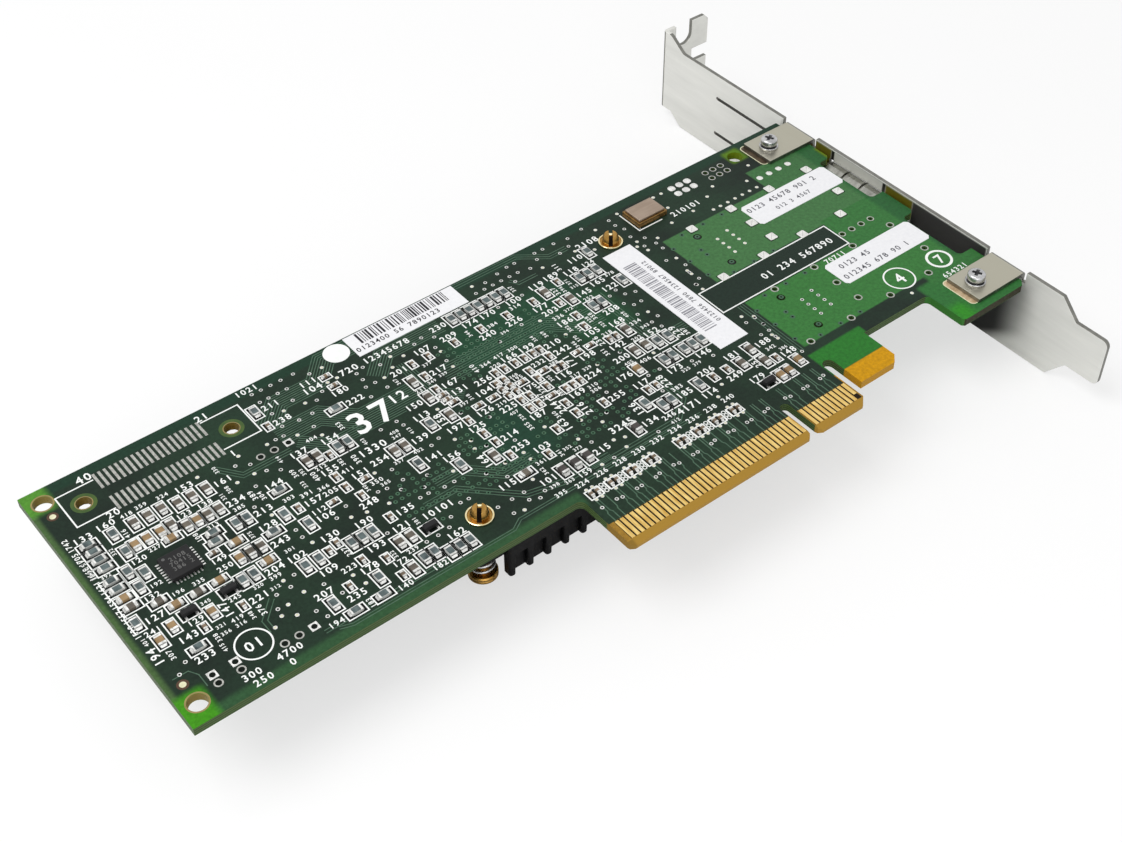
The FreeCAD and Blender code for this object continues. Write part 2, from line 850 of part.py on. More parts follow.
# Cage of the upper port: a folded sheet tunnel, open in front, with pins through the board
tunnel_low_y = cage_low_y + sheet_thickness
tunnel_high_y = cage_high_y - sheet_thickness
tunnel_top = cage_top - sheet_thickness
tunnel_bottom = cage_bottom + sheet_thickness
cage = box(cage_back, cage_front, cage_low_y, cage_high_y, cage_bottom, cage_top)
cage = cage.cut(box(cage_back + sheet_thickness, cage_front + past, tunnel_low_y, tunnel_high_y,
                    tunnel_bottom, tunnel_top))
cage = cage.cut(box(cage_back + sheet_thickness, cage_floor_start, tunnel_low_y, tunnel_high_y,
                    tunnel_top - past, cage_top + past))
latch_start = cage_front - latch_length
for side in (-1, 1):
    slit_y = upper_port_y + side * (latch_width + latch_slot) / 2
    cage = cage.cut(box(latch_start, cage_front + past, slit_y - latch_slot / 2, slit_y + latch_slot / 2,
                        tunnel_top - past, cage_top + past))
latch_tip = latch_start + (latch_length + latch_hole_side) / 2
latch_points = [
    (latch_tip, upper_port_y - latch_hole_side / 2, 0),
    (latch_tip, upper_port_y + latch_hole_side / 2, 0),
    (latch_tip - latch_hole_side, upper_port_y, 0),
]
cage = cage.cut(outline(latch_points, level(tunnel_top - past)).extrude(V(0, 0, sheet_thickness + 2 * past)))
for x, y in cage_pins(upper_port_y):
    in_side_wall = abs(y - upper_port_y) > cage_width / 2 - sheet_thickness
    across = pin_depth if in_side_wall else pin_width
    cage = cage.fuse(block(x, y, (pin_width, across, solder_face - tunnel_top), tunnel_top, 1))
save("port_cage", cage.removeSplitter())

# Spring fingers round the cage's nose, where it passes the bracket
collar_end = bracket_back + finger_foot
collar_start = collar_end - collar_length
ramp = collar_length / 3
finger_profile = [(collar_start, 0), (collar_start + ramp, finger_rise), (collar_end - ramp, finger_rise),
                  (collar_end, 0)]


def finger_row(start, end, count, place_low, outward_point):
    """Bowed fingers side by side along one side of the cage."""
    width = (end - start + finger_gap) / count - finger_gap
    row = []
    for i in range(count):
        at = start + i * (width + finger_gap)
        corners = [outward_point(x, rise, at) for x, rise in finger_profile]
        face = Part.Face(Part.makePolygon(corners + corners[:1]))
        row.append(face.extrude(place_low * width))
    return row


row_low = cage_low_y + finger_gap
row_high = cage_high_y - finger_gap
fingers = finger_row(row_low, row_high, broad_finger_count, V(0, 1, 0),
                     lambda x, rise, y: V(x, y, cage_top + rise))
fingers += finger_row(row_low, row_high, broad_finger_count, V(0, 1, 0),
                      lambda x, rise, y: V(x, y, cage_bottom - rise))
fingers += finger_row(cage_bottom, cage_top, narrow_finger_count, V(0, 0, 1),
                      lambda x, rise, z: V(x, cage_low_y - rise, z))
fingers += finger_row(cage_bottom, cage_top, narrow_finger_count, V(0, 0, 1),
                      lambda x, rise, z: V(x, cage_high_y + rise, z))
group("cage_spring_fingers", fingers)

# Host connector at the back of the cage, with pegs into the board
connector_front = connector_x + connector_length / 2
connector = block(connector_x, upper_port_y, (connector_length, connector_width, connector_height),
                  component_face, -1)
slot_top = component_face - (connector_height - connector_slot_height) / 2
half_slot = connector_slot_width / 2
connector = connector.cut(box(connector_front - connector_slot_depth, connector_front + past,
                              upper_port_y - half_slot, upper_port_y + half_slot,
                              slot_top - connector_slot_height, slot_top))
for x, y in connector_pegs(upper_port_y):
    connector = connector.fuse(sided_rod(x, y, component_face, solder_face, connector_peg_d, rod_sides))
save("host_connector", connector)
leads = []
for side in (-1, 1):
    lead_x = connector_x + side * (connector_length + connector_lead[0]) / 2
    for i in range(connector_leads_per_side):
        lead_y = upper_port_y + (i - (connector_leads_per_side - 1) / 2) * connector_lead_pitch
        leads.append(block(lead_x, lead_y, connector_lead, component_face, -1))
group("host_connector_leads", leads)

# Indicator block with two lenses that look out through the bracket
housing_end = bracket_face - indicator_gap
housing_low = component_face - indicator_height
half_housing = indicator_width / 2
housing = box(indicator_start, housing_end, indicator_y - half_housing, indicator_y + half_housing,
              housing_low, component_face)
save("indicator_block", housing)
lenses = []
for drop in indicator_levels:
    lens_points = ring_points(indicator_y, component_face - drop, indicator_lens_d, rod_sides)
    lens_length = bracket_back + indicator_lens_out - housing_end
    lenses.append(outline(lens_points, upright(housing_end)).extrude(V(lens_length, 0, 0)))
group("indicator_lenses", lenses)

# Controller, its lid and the thermal pad
substrate_size = (chip_side, chip_side, substrate_thickness)
save("controller_substrate", block(chip_x, chip_y, substrate_size, component_face, -1))
lid_base = component_face - substrate_thickness
save("controller_lid", block(chip_x, chip_y, (lid_side, lid_side, lid_thickness), lid_base, -1))
save("thermal_pad", block(chip_x, chip_y, (lid_side, lid_side, pad_thickness), lid_face, -1))

# Heat sink: base plate with upright fins, a web across them behind each end, cut back round the push pins
sink_left = sink_x - sink_length / 2
sink_low = sink_y - sink_width / 2
fin_length = (sink_width - (fin_rows - 1) * fin_gap) / fin_rows
fins = []
for i in range(fin_columns):
    fin_left = sink_left + i * fin_pitch
    for j in range(fin_rows):
        fin_low = sink_low + j * (fin_length + fin_gap)
        fins.append(box(fin_left, fin_left + fin_thickness, fin_low, fin_low + fin_length,
                        fin_face - fin_height, fin_face))
fin_right = sink_left + sink_length
web_lows = (sink_low + fin_web_inset, sink_low + sink_width - fin_web_inset - fin_web)
for web_low in web_lows:
    fins.append(box(sink_left, fin_right, web_low, web_low + fin_web, fin_face - fin_height, fin_face))
pockets = []
for x, y in push_pins:
    pockets.append(box(x - pin_pocket, x + pin_pocket, y - pin_pocket, y + pin_pocket,
                       fin_face - fin_height - past, fin_face))
fins = fins[0].fuse(fins[1:]).cut(pockets)
sink = box(sink_left, sink_left + sink_length, sink_low, sink_low + sink_width, fin_face, sink_face)
sink_ears = []
for x, y in push_pins:
    lug_points = cut_corners(x - sink_ear_r, y - sink_ear_r, x + sink_ear_r, y + sink_ear_r, sink_ear_chamfer)
    sink_ears.append(outline(lug_points, level(fin_face)).extrude(V(0, 0, sink_base)))
sink = sink.fuse(fins.Solids + sink_ears)
for x, y in push_pins:
    sink = sink.cut(sided_rod(x, y, fin_face - past, sink_face + past, push_pin_hole_d, rod_sides))
save("heat_sink", sink.removeSplitter())

# Push pins with a collar and a split barb on the solder face, and their springs
pin_head_top = fin_face - push_pin_drop + push_pin_head_height
pin_head_base = pin_head_top - push_pin_head_height
coil_r = push_pin_d / 2 + spring_clearance + spring_wire / 2
barb_foot = solder_face + collar_height
pins, springs = [], []
for x, y in push_pins:
    pin = sided_rod(x, y, pin_head_top, solder_face, push_pin_d, rod_sides)
    pin = pin.fuse(sided_rod(x, y, pin_head_base, pin_head_top, push_pin_head_d, head_sides))
    pin = pin.fuse(sided_rod(x, y, solder_face, barb_foot, collar_d, head_sides))
    pin = pin.fuse(sided_taper(x, y, barb_foot, barb_foot + barb_height, barb_d, barb_tip_d, rod_sides))
    split = block(x, y, (barb_slot, barb_d + past, barb_height), barb_foot + barb_height, -1)
    split.rotate(V(x, y, 0), V(0, 0, 1), barb_turn)
    pins.append(pin.cut(split).removeSplitter())
    springs.append(coil(x, y, pin_head_top, fin_face - pin_head_top, coil_r))
group("push_pins", pins)
group("push_pin_springs", springs)

# Oscillator and power controller on the solder face
save("oscillator_base", block(*oscillator, oscillator_size, solder_face, 1))
lid_size = (oscillator_size[0] - 2 * oscillator_lid_margin, oscillator_size[1] - 2 * oscillator_lid_margin,
            oscillator_lid_height)
save("oscillator_lid", block(*oscillator, lid_size, solder_face + oscillator_size[2], 1))
controller_size = (power_controller_side, power_controller_side, power_controller_height)
save("power_controller", block(*power_controller, controller_size, solder_face, 1))

# Adhesive labels
for name, (left, low, right, high) in square_labels.items():
    save(name, box(left, right, low, high, solder_face, solder_face + label_thickness))
for name, port_y in (("label_upper_port", upper_port_y), ("label_lower_port", lower_port_y)):
    low = port_y + port_label_middle_rise - port_label_width / 2
    right = port_label_left + port_label_length
    label_points = cut_corners(port_label_left, low, right, low + port_label_width, label_corner)
    save(name, outline(label_points, level(solder_face)).extrude(V(0, 0, label_thickness)))

# Solder joints of the pins that come through the board
joint_size = (cage_joint_side, cage_joint_side, joint_height)
group("cage_solder_joints", [block(x, y, joint_size, solder_face, 1) for x, y in cage_pins(upper_port_y)])
lead_places = header_pins(filled_header) + indicator_leads(upper_port_y)
joint_top = solder_face + joint_height
group("lead_solder_joints", [sided_rod(x, y, solder_face, joint_top, lead_joint_d, drill_sides)
                             for x, y in lead_places])

# Chip parts of the solder face
group("chip_resistors", set_rows(resistors_upright, turned(large_chip))
      + set_rows(resistors_level, large_chip))
group("large_chip_capacitors", set_rows(large_capacitors_upright, turned(large_chip))
      + set_rows(large_capacitors_level, large_chip))
group("tan_chip_capacitors", set_rows(tan_capacitors_upright, turned(large_chip))
      + set_rows(tan_capacitors_level, large_chip))
group("small_chip_capacitors", set_rows(small_capacitors_upright, turned(small_chip))
      + set_rows(small_capacitors_level, small_chip))
coupling_xs = [x + side * coupling_pair_gap / 2 for x in coupling_pairs for side in (-1, 1)]
group("coupling_capacitors", set_rows(((coupling_row_y, coupling_xs),), turned(small_chip)))
group("filter_beads", set_rows(beads_upright, turned(bead_chip)))
group("small_transistors", set_rows(transistors_level, transistor_chip))

# Parts of the component face
inductors = []
for x, y in inductor_places:
    inductor = block(x, y, inductor_size, component_face, -1)
    corners = [edge for edge in inductor.Edges if edge.BoundBox.ZLength > inductor_size[2] - 0.01]
    inductors.append(inductor.makeChamfer(inductor_chamfer, corners))
group("power_inductors", inductors)
group("polymer_capacitors", [block(x, y, polymer_size, component_face, -1) for x, y in polymer_places])
group("power_switches", [block(x, y, switch_size, component_face, -1) for x, y in switch_places])
save("program_memory", block(*memory_place, memory_size, component_face, -1))
save("serial_memory", block(*serial_memory_place, serial_memory_size, component_face, -1))
header_size = (3 * header_pitch, 2 * header_pitch, header_body_height)
header_body = block(*filled_header, header_size, component_face, -1)
header_holes = []
header_pieces = []
for x, y in header_pins(filled_header):
    pin_low = component_face - header_body_height - header_pin_reach
    square = (header_pin_side, header_pin_side, solder_face - pin_low)
    header_pieces.append(block(x, y, square, pin_low, 1))
    header_holes.append(block(x, y, square, pin_low, 1))
save("header_body", header_body.cut(header_holes))
group("header_pins", header_pieces)
rear_parts = set_rows(rear_chips_level, large_chip, component_face, -1)
rear_parts += set_rows(rear_chips_upright, turned(large_chip), component_face, -1)
group("component_side_chip_parts", rear_parts)
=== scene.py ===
# %% [markdown]
# # A fibre channel adapter card, solder side up
#
# The object is a computer card that lies on its cooler: a long green circuit board, gold contacts
# along one edge, a folded steel bracket at one end, and a few hundred tiny parts on the face that we see.
# The CAD frame already has every solid at its real size. This lesson dresses it: each cell adds one
# finish or one kind of detail, always in the same frame, so nothing has to be fitted by eye.

# %% Load the frame
import math
import random

import bmesh
import bpy
from mathutils import Matrix, Quaternion, Vector


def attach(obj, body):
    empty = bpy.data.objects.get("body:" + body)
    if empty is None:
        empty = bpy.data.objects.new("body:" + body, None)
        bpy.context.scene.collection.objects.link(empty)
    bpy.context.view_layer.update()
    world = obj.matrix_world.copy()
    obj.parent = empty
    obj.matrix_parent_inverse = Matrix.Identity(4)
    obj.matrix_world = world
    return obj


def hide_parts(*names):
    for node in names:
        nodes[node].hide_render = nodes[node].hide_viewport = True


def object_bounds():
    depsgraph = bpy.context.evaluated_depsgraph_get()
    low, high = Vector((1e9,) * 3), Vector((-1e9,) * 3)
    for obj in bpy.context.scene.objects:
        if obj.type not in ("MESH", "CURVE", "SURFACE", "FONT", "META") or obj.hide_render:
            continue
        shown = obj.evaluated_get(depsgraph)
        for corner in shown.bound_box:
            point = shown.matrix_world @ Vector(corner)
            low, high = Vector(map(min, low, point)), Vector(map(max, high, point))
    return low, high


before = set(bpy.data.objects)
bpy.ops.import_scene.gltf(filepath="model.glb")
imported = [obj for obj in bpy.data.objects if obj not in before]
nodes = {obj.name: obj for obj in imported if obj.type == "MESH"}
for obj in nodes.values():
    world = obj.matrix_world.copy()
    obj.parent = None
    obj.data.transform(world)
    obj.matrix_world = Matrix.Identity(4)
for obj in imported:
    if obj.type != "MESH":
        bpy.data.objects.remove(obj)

cad_box = [list(corner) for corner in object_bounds()]
scene = bpy.context.scene
scene.view_settings.view_transform = "Standard"
print("nodes", len(nodes), "box in mm", [[round(1000 * c, 1) for c in corner] for corner in cad_box])

# %% [markdown]
# ## Millimetres
#
# A circuit board is drawn in millimetres, so every piece is modelled in millimetres and scaled once, in its
# mesh, when it is finished. The object itself stays at the origin, which keeps Object coordinates
# equal to the frame's own coordinates. That is handy: a colour zone on the board can then be written
# with the same numbers as a measurement on the real card.

# %% Helpers for boxes and whole pieces
MM = 0.001
PER_METRE = 1000.0
FACE = 0.0
REAR = -1.57
rng = random.Random(11)


def slab(bm, low, high, mark=0):
    """A box between two corners."""
    size = [b - a for a, b in zip(low, high)]
    middle = [(a + b) / 2 for a, b in zip(low, high)]
    place = Matrix.Translation(middle) @ Matrix.Diagonal((*size, 1.0))
    verts = bmesh.ops.create_cube(bm, size=1.0, matrix=place)["verts"]
    for face in {f for v in verts for f in v.link_faces}:
        face.material_index = mark
    return verts


def piece(name, bm, finishes, slot, stands_for=(), smooth=None):
    """Turns a bmesh in millimetres into a finished piece of the card."""
    mesh = bpy.data.meshes.new(name)
    bm.to_mesh(mesh)
    bm.free()
    mesh.transform(Matrix.Scale(MM, 4))
    for material in finishes:
        mesh.materials.append(material)
    if smooth is not None:
        mesh.shade_smooth()
        mesh.set_sharp_from_angle(angle=math.radians(smooth))
    thing = bpy.data.objects.new(name, mesh)
    scene.collection.objects.link(thing)
    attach(thing, "root")
    if stands_for:
        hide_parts(*stands_for)
    print(name, len(mesh.polygons), "faces")
    return thing


print("board from", REAR, "to", FACE, "mm")

# %% [markdown]
# ## Effects that many finishes share
#
# No real surface has one flat colour: lacquer pools, metal has rolling marks, paper has fibres. One node
# group gives a soft mottling, a mask for roughness and a height for relief, and every material places
# it with its own colours and scale. A second group answers "is this point inside a rectangle of the
# board?", with a soft rim, which is how the solder mask changes colour from zone to zone without any image.

# %% Helpers for nodes


def paint(red, green, blue):
    """A colour as a paint chart gives it, from 0 to 255, in the linear values of a shader."""
    parts = [c / 255 for c in (red, green, blue)]
    return (*[c / 12.92 if c <= 0.04045 else ((c + 0.055) / 1.055) ** 2.4 for c in parts], 1.0)


def group(name, inputs, outputs):
    """An empty node group with named sockets."""
    tree = bpy.data.node_groups.new(name, "ShaderNodeTree")
    for label, kind in inputs:
        tree.interface.new_socket(label, in_out="INPUT", socket_type=kind)
    for label, kind in outputs:
        tree.interface.new_socket(label, in_out="OUTPUT", socket_type=kind)
    return tree, tree.nodes.new("NodeGroupInput"), tree.nodes.new("NodeGroupOutput")


def feed(tree, socket, value):
    """Links a socket to another one, or sets it to a plain value."""
    if hasattr(value, "links"):
        tree.links.new(value, socket)
    else:
        socket.default_value = value


def maths(tree, work, first, second):
    """One step of sums on two values, each a socket or a number; gives the result's socket."""
    node = tree.nodes.new("ShaderNodeMath")
    node.operation = work
    feed(tree, node.inputs[0], first)
    feed(tree, node.inputs[1], second)
    return node.outputs[0]


def colour_mix(tree, mask, first, second, blend="MIX"):
    """Mixes two colours, each a socket or a plain colour, and gives the result's socket."""
    mix = tree.nodes.new("ShaderNodeMix")
    mix.data_type = "RGBA"
    mix.blend_type = blend
    feed(tree, mix.inputs["Factor"], mask)
    for socket, value in zip([s for s in mix.inputs if s.type == "RGBA"], (first, second)):
        feed(tree, socket, value)
    return [s for s in mix.outputs if s.type == "RGBA"][0]


print("white paint", paint(255, 255, 255))

# %% Shared node groups
mottle, into, out = group(
    "Mottle",
    [("Vector", "NodeSocketVector"), ("Scale", "NodeSocketFloat"), ("Low", "NodeSocketColor"),
     ("High", "NodeSocketColor")],
    [("Color", "NodeSocketColor"), ("Mask", "NodeSocketFloat"), ("Height", "NodeSocketFloat")])
broad = mottle.nodes.new("ShaderNodeTexNoise")
broad.inputs["Detail"].default_value = 6.0
broad.inputs["Roughness"].default_value = 0.6
even = mottle.nodes.new("ShaderNodeMapRange")
even.inputs["From Min"].default_value = 0.32
even.inputs["From Max"].default_value = 0.68
fine = mottle.nodes.new("ShaderNodeTexNoise")
fine.inputs["Detail"].default_value = 3.0
FINER = 7.0
blend = colour_mix(mottle, even.outputs["Result"], into.outputs["Low"], into.outputs["High"])
for source, target in (
        (into.outputs["Vector"], broad.inputs["Vector"]),
        (into.outputs["Scale"], broad.inputs["Scale"]),
        (broad.outputs["Fac"], even.inputs["Value"]),
        (into.outputs["Vector"], fine.inputs["Vector"]),
        (maths(mottle, "MULTIPLY", into.outputs["Scale"], FINER), fine.inputs["Scale"]),
        (blend, out.inputs["Color"]),
        (even.outputs["Result"], out.inputs["Mask"]),
        (fine.outputs["Fac"], out.inputs["Height"])):
    mottle.links.new(source, target)

SIDES = ("Left", "Right", "Low", "High", "Soft")
limits = [(side, "NodeSocketFloat") for side in SIDES]
zone, into, out = group("Zone", [("Vector", "NodeSocketVector"), *limits], [("Mask", "NodeSocketFloat")])
axes = zone.nodes.new("ShaderNodeSeparateXYZ")
zone.links.new(into.outputs["Vector"], axes.inputs[0])
masks = []
for axis, side, outside, within in (("X", "Left", 0.0, 1.0), ("X", "Right", 1.0, 0.0),
                                    ("Y", "Low", 0.0, 1.0), ("Y", "High", 1.0, 0.0)):
    step = zone.nodes.new("ShaderNodeMapRange")
    step.interpolation_type = "SMOOTHSTEP"
    step.inputs["To Min"].default_value = outside
    step.inputs["To Max"].default_value = within
    zone.links.new(axes.outputs[axis], step.inputs["Value"])
    for limit, work in (("From Min", "SUBTRACT"), ("From Max", "ADD")):
        zone.links.new(maths(zone, work, into.outputs[side], into.outputs["Soft"]), step.inputs[limit])
    masks.append(step.outputs["Result"])
mask = masks.pop()
while masks:
    mask = maths(zone, "MULTIPLY", mask, masks.pop())
zone.links.new(mask, out.inputs["Mask"])
print("groups", [g.name for g in bpy.data.node_groups])

# %% [markdown]
# ## One recipe for all finishes
#
# Tin, ink, ceramic and steel differ in their figures, not in their recipe: two colours that mottle, a range
# of roughness, and at times a fine relief. So one function makes them all, and a new finish is one line. The
# first ones serve the whole face: the white ink, three kinds of solder and the dark inside of a hole.

# %% A maker of finishes


def mottling(tree, vector, scale, low, high):
    """The mottle group, placed in a material."""
    grain = tree.nodes.new("ShaderNodeGroup")
    grain.node_tree = mottle
    grain.inputs["Scale"].default_value = scale
    grain.inputs["Low"].default_value = low
    grain.inputs["High"].default_value = high
    tree.links.new(vector, grain.inputs["Vector"])
    return grain


def ranged(tree, value, low, high):
    """Spreads a value between 0 and 1 over another range."""
    spread = tree.nodes.new("ShaderNodeMapRange")
    spread.inputs["To Min"].default_value = low
    spread.inputs["To Max"].default_value = high
    tree.links.new(value, spread.inputs["Value"])
    return spread.outputs["Result"]


def emboss(tree, shader, height, strength, depth):
    """Gives a shader a fine relief of so many metres."""
    bump = tree.nodes.new("ShaderNodeBump")
    bump.inputs["Strength"].default_value = strength
    bump.inputs["Distance"].default_value = depth
    tree.links.new(height, bump.inputs["Height"])
    tree.links.new(bump.outputs["Normal"], shader.inputs["Normal"])


def finish(name, low, high, rough, metal=0.0, scale=400.0, relief=0.0, gloss=0.5, stretch=(1, 1, 1)):
    """A mottled material: two colours, a range of roughness, and fine relief of so many metres."""
    material = bpy.data.materials.new(name)
    material.use_nodes = True
    tree = material.node_tree
    shader = tree.nodes["Principled BSDF"]
    shader.inputs["Metallic"].default_value = metal
    shader.inputs["Specular IOR Level"].default_value = gloss
    coords = tree.nodes.new("ShaderNodeTexCoord")
    turn = tree.nodes.new("ShaderNodeMapping")
    turn.inputs["Scale"].default_value = stretch
    tree.links.new(coords.outputs["Object"], turn.inputs["Vector"])
    grain = mottling(tree, turn.outputs["Vector"], scale, paint(*low), paint(*high))
    tree.links.new(grain.outputs["Color"], shader.inputs["Base Color"])
    tree.links.new(ranged(tree, grain.outputs["Mask"], *rough), shader.inputs["Roughness"])
    if relief:
        emboss(tree, shader, grain.outputs["Height"], 0.5, relief)
    return material


ink = finish("white_ink", (236, 239, 236), (247, 248, 246), (0.5, 0.7), scale=900, relief=0.00001, gloss=0.3)
tin = finish("solder", (200, 200, 197), (244, 244, 241), (0.18, 0.42), metal=1.0, scale=1500, relief=0.00006)
bare_tin = finish("dull_tin", (150, 150, 146), (196, 196, 190), (0.3, 0.5), metal=1.0, scale=1800,
                  relief=0.00003)
bright_tin = finish("bright_solder", (222, 222, 218), (244, 244, 240), (0.2, 0.34), metal=1.0, scale=900,
                    relief=0.00002)
cream = finish("flux_cream", (206, 204, 166), (228, 226, 194), (0.35, 0.5), scale=1500, relief=0.00002,
               gloss=0.4)
dark_hole = finish("hole_shadow", (10, 16, 12), (18, 26, 20), (0.8, 0.9), scale=800, gloss=0.1)
print("finishes", len(bpy.data.materials))

# %% [markdown]
# ## The board's lacquer
#
# Solder mask is a green lacquer over copper. Where copper lies under it the board looks nearly black-green,
# where there is only glass fibre it glows bright green, and the bare laminate at the contacts is amber; the
# gaps between the contacts get a painted shade, nearly black.
# So the colour is a list of rectangles, later ones over earlier ones, in the board's own millimetres. Each
# row gives left, right, low, high, the softness of the rim and the colour. The cut edge shows the glass
# layers: there the colour follows the height instead, and a second list gives its tints.

# %% Zones of the solder mask
mask_zones = (
    (-36, -8, 47.0, 58.5, 2.5, (31, 66, 46)),
    (-45, -34, 24.0, 37.5, 2.5, (30, 60, 45)),
    (-16, -4, 40.0, 52.0, 2.0, (32, 68, 44)),
    (-111, 57, 66.7, 69.5, 0.4, (28, 54, 40)),
    (-111, -39.4, 11, 14.3, 0.7, (46, 80, 50)),
    (-112, -109.2, 11, 70, 0.5, (70, 97, 56)),
    (-112, -105.6, 63.6, 70, 0.9, (80, 137, 48)),
    (-112, -105.4, 11, 18.6, 0.9, (62, 138, 24)),
    (40.3, 44.2, 63.9, 67.8, 0.6, (84, 118, 22)),
    (13.2, 57.5, 39.0, 54.1, 0.2, (66, 111, 66)),
    (40.0, 57.5, 53.0, 60.2, 0.2, (62, 106, 63)),
    (13.2, 57.5, 16.4, 31.6, 0.2, (56, 114, 56)),
    (40.3, 57.5, 30.0, 40.0, 0.2, (54, 110, 56)),
    (8.4, 40.0, 32.0, 38.6, 0.1, (30, 44, 36)),
    (52.6, 57.5, 16, 67.0, 0.7, (42, 92, 50)),
    (56.2, 57.5, 53.0, 57.6, 0.5, (104, 124, 22)),
    (40.0, 57.5, 3, 15.0, 0.5, (48, 106, 52)),
    (40.0, 43.6, 3, 7.6, 1.3, (50, 132, 38)),
    (43.4, 57.5, 13.6, 17.0, 0.5, (52, 108, 54)),
    (12.0, 24.5, 8.0, 14.4, 0.3, (42, 112, 42)),
    (12.0, 25.0, 3, 8.0, 0.15, (196, 142, 14)),
    (-41, 12.3, -2, 5.75, 0.06, (150, 114, 44)),
    # painted shade: the laminate between the contacts nearly black
    (-38.95, -1.1, 1.3, 5.75, 0.06, (28, 18, 4)),
    (1.1, 11.9, 1.3, 5.75, 0.06, (28, 18, 4)),
    (-41, 12.3, -2, 1.3, 0.06, (160, 124, 50)),
)
edge_zones = (
    # painted shade: the lug's front edge darker
    (39.6, 57.6, 2.5, 3.85, 0.1, (46, 44, 28)),
    (39.6, 40.5, 3.85, 15.5, 0.1, (52, 106, 44)),
    (55.8, 57.6, 30.0, 61.0, 0.2, (132, 146, 52)),
    (24.6, 40.2, 13.0, 16.5, 0.2, (58, 84, 52)),
    (-41, 12.3, -2, 1.4, 0.1, (160, 124, 50)),
    (-41, -38.9, -2, 6.2, 0.3, (134, 104, 42)),
    (12.0, 25.0, 3, 8.0, 0.1, (172, 126, 26)),
    (40.0, 44.4, 63.5, 67.6, 0.1, (106, 126, 24)),
    (-109.0, -105.2, 63.6, 67.6, 0.1, (132, 116, 58)),
    (-109.0, -105.2, 14.2, 18.4, 0.1, (132, 116, 58)),
    (-103.6, -100.4, 60.0, 63.2, 0.1, (112, 92, 36)),
    (-76.6, -73.4, 60.0, 63.2, 0.1, (112, 92, 36)),
)
print("zones of the faces", len(mask_zones), "of the edge", len(edge_zones))

# %% Solder mask
EDGE_MARGIN = 0.03


def in_millimetres(tree):
    """The frame's coordinates in millimetres, as a socket."""
    coords = tree.nodes.new("ShaderNodeTexCoord")
    ruler = tree.nodes.new("ShaderNodeVectorMath")
    ruler.operation = "SCALE"
    ruler.inputs["Scale"].default_value = PER_METRE
    tree.links.new(coords.outputs["Object"], ruler.inputs[0])
    return ruler.outputs[0]


def in_zones(tree, vector, colour, zones):
    """Paints rectangles of colour over a colour, one after the other."""
    for *limits, tint in zones:
        field = tree.nodes.new("ShaderNodeGroup")
        field.node_tree = zone
        for side, value in zip(SIDES, limits):
            field.inputs[side].default_value = value
        tree.links.new(vector, field.inputs["Vector"])
        colour = colour_mix(tree, field.outputs["Mask"], colour, paint(*tint))
    return colour


def dress(node, *materials):
    """Gives a CAD node its finish."""
    mesh = nodes[node].data
    mesh.materials.clear()
    for material in materials:
        mesh.materials.append(material)


lacquer = bpy.data.materials.new("solder_mask")
lacquer.use_nodes = True
tree = lacquer.node_tree
shader = tree.nodes["Principled BSDF"]
shader.inputs["Specular IOR Level"].default_value = 0.1
spot = in_millimetres(tree)
copper = mottling(tree, spot, 0.055, paint(26, 35, 30), paint(35, 56, 41))
speckle = mottling(tree, spot, 1.6, (0.80, 0.80, 0.80, 1), (1.18, 1.18, 1.18, 1))
colour = in_zones(tree, spot, copper.outputs["Color"], mask_zones)
colour = colour_mix(tree, 1.0, colour, speckle.outputs["Color"], "MULTIPLY")
layers = tree.nodes.new("ShaderNodeTexWave")
layers.bands_direction = "Z"
layers.inputs["Scale"].default_value = 0.7
layers.inputs["Distortion"].default_value = 1.2
tree.links.new(spot, layers.inputs["Vector"])
edge_colour = colour_mix(tree, layers.outputs["Fac"], paint(44, 62, 34), paint(78, 98, 56))
edge_colour = in_zones(tree, spot, edge_colour, edge_zones)
axes = tree.nodes.new("ShaderNodeSeparateXYZ")
tree.links.new(spot, axes.inputs[0])
below_face = maths(tree, "LESS_THAN", axes.outputs["Z"], FACE - EDGE_MARGIN)
above_rear = maths(tree, "GREATER_THAN", axes.outputs["Z"], REAR + EDGE_MARGIN)
colour = colour_mix(tree, maths(tree, "MULTIPLY", below_face, above_rear), colour, edge_colour)
tree.links.new(colour, shader.inputs["Base Color"])
tree.links.new(ranged(tree, speckle.outputs["Mask"], 0.34, 0.5), shader.inputs["Roughness"])
emboss(tree, shader, speckle.outputs["Height"], 0.25, 0.00002)
dress("circuit_board", lacquer)
print("nodes in the lacquer", len(tree.nodes))

# %% [markdown]
# ## Chip parts
#
# A chip resistor or capacitor is a small ceramic brick with tinned ends, held by a slope of solder at
# each end. Seen from arm's length, what counts is the rhythm: bright end, dark body, bright end. There are
# hundreds, so each is stamped from a pattern with a few dozen faces, at the place of its CAD solid.

# %% Helpers for the CAD solids
WELD = 0.0005


def solid_copy(node):
    """A node's mesh in millimetres, with its loose triangles joined and its flat sides made whole."""
    bm = bmesh.new()
    bm.from_mesh(nodes[node].data)
    bmesh.ops.scale(bm, vec=(PER_METRE, PER_METRE, PER_METRE), verts=bm.verts)
    bmesh.ops.remove_doubles(bm, verts=bm.verts, dist=WELD)
    bmesh.ops.dissolve_limit(bm, angle_limit=math.radians(1), verts=bm.verts, edges=bm.edges)
    return bm


def parts_of(node):
    """The low and high corner of each separate solid of a node, in millimetres."""
    bm = solid_copy(node)
    boxes, seen = [], set()
    for start in bm.verts:
        if start in seen:
            continue
        island, queue = [], [start]
        seen.add(start)
        while queue:
            vert = queue.pop()
            island.append(vert.co.copy())
            for edge in vert.link_edges:
                other = edge.other_vert(vert)
                if other not in seen:
                    seen.add(other)
                    queue.append(other)
        corners = [[pick(c[i] for c in island) for i in range(3)] for pick in (min, max)]
        boxes.append(tuple(corners))
    bm.free()
    return sorted(boxes)


def middle_of(low, high):
    """The middle of a solid, as seen from above."""
    return (low[0] + high[0]) / 2, (low[1] + high[1]) / 2


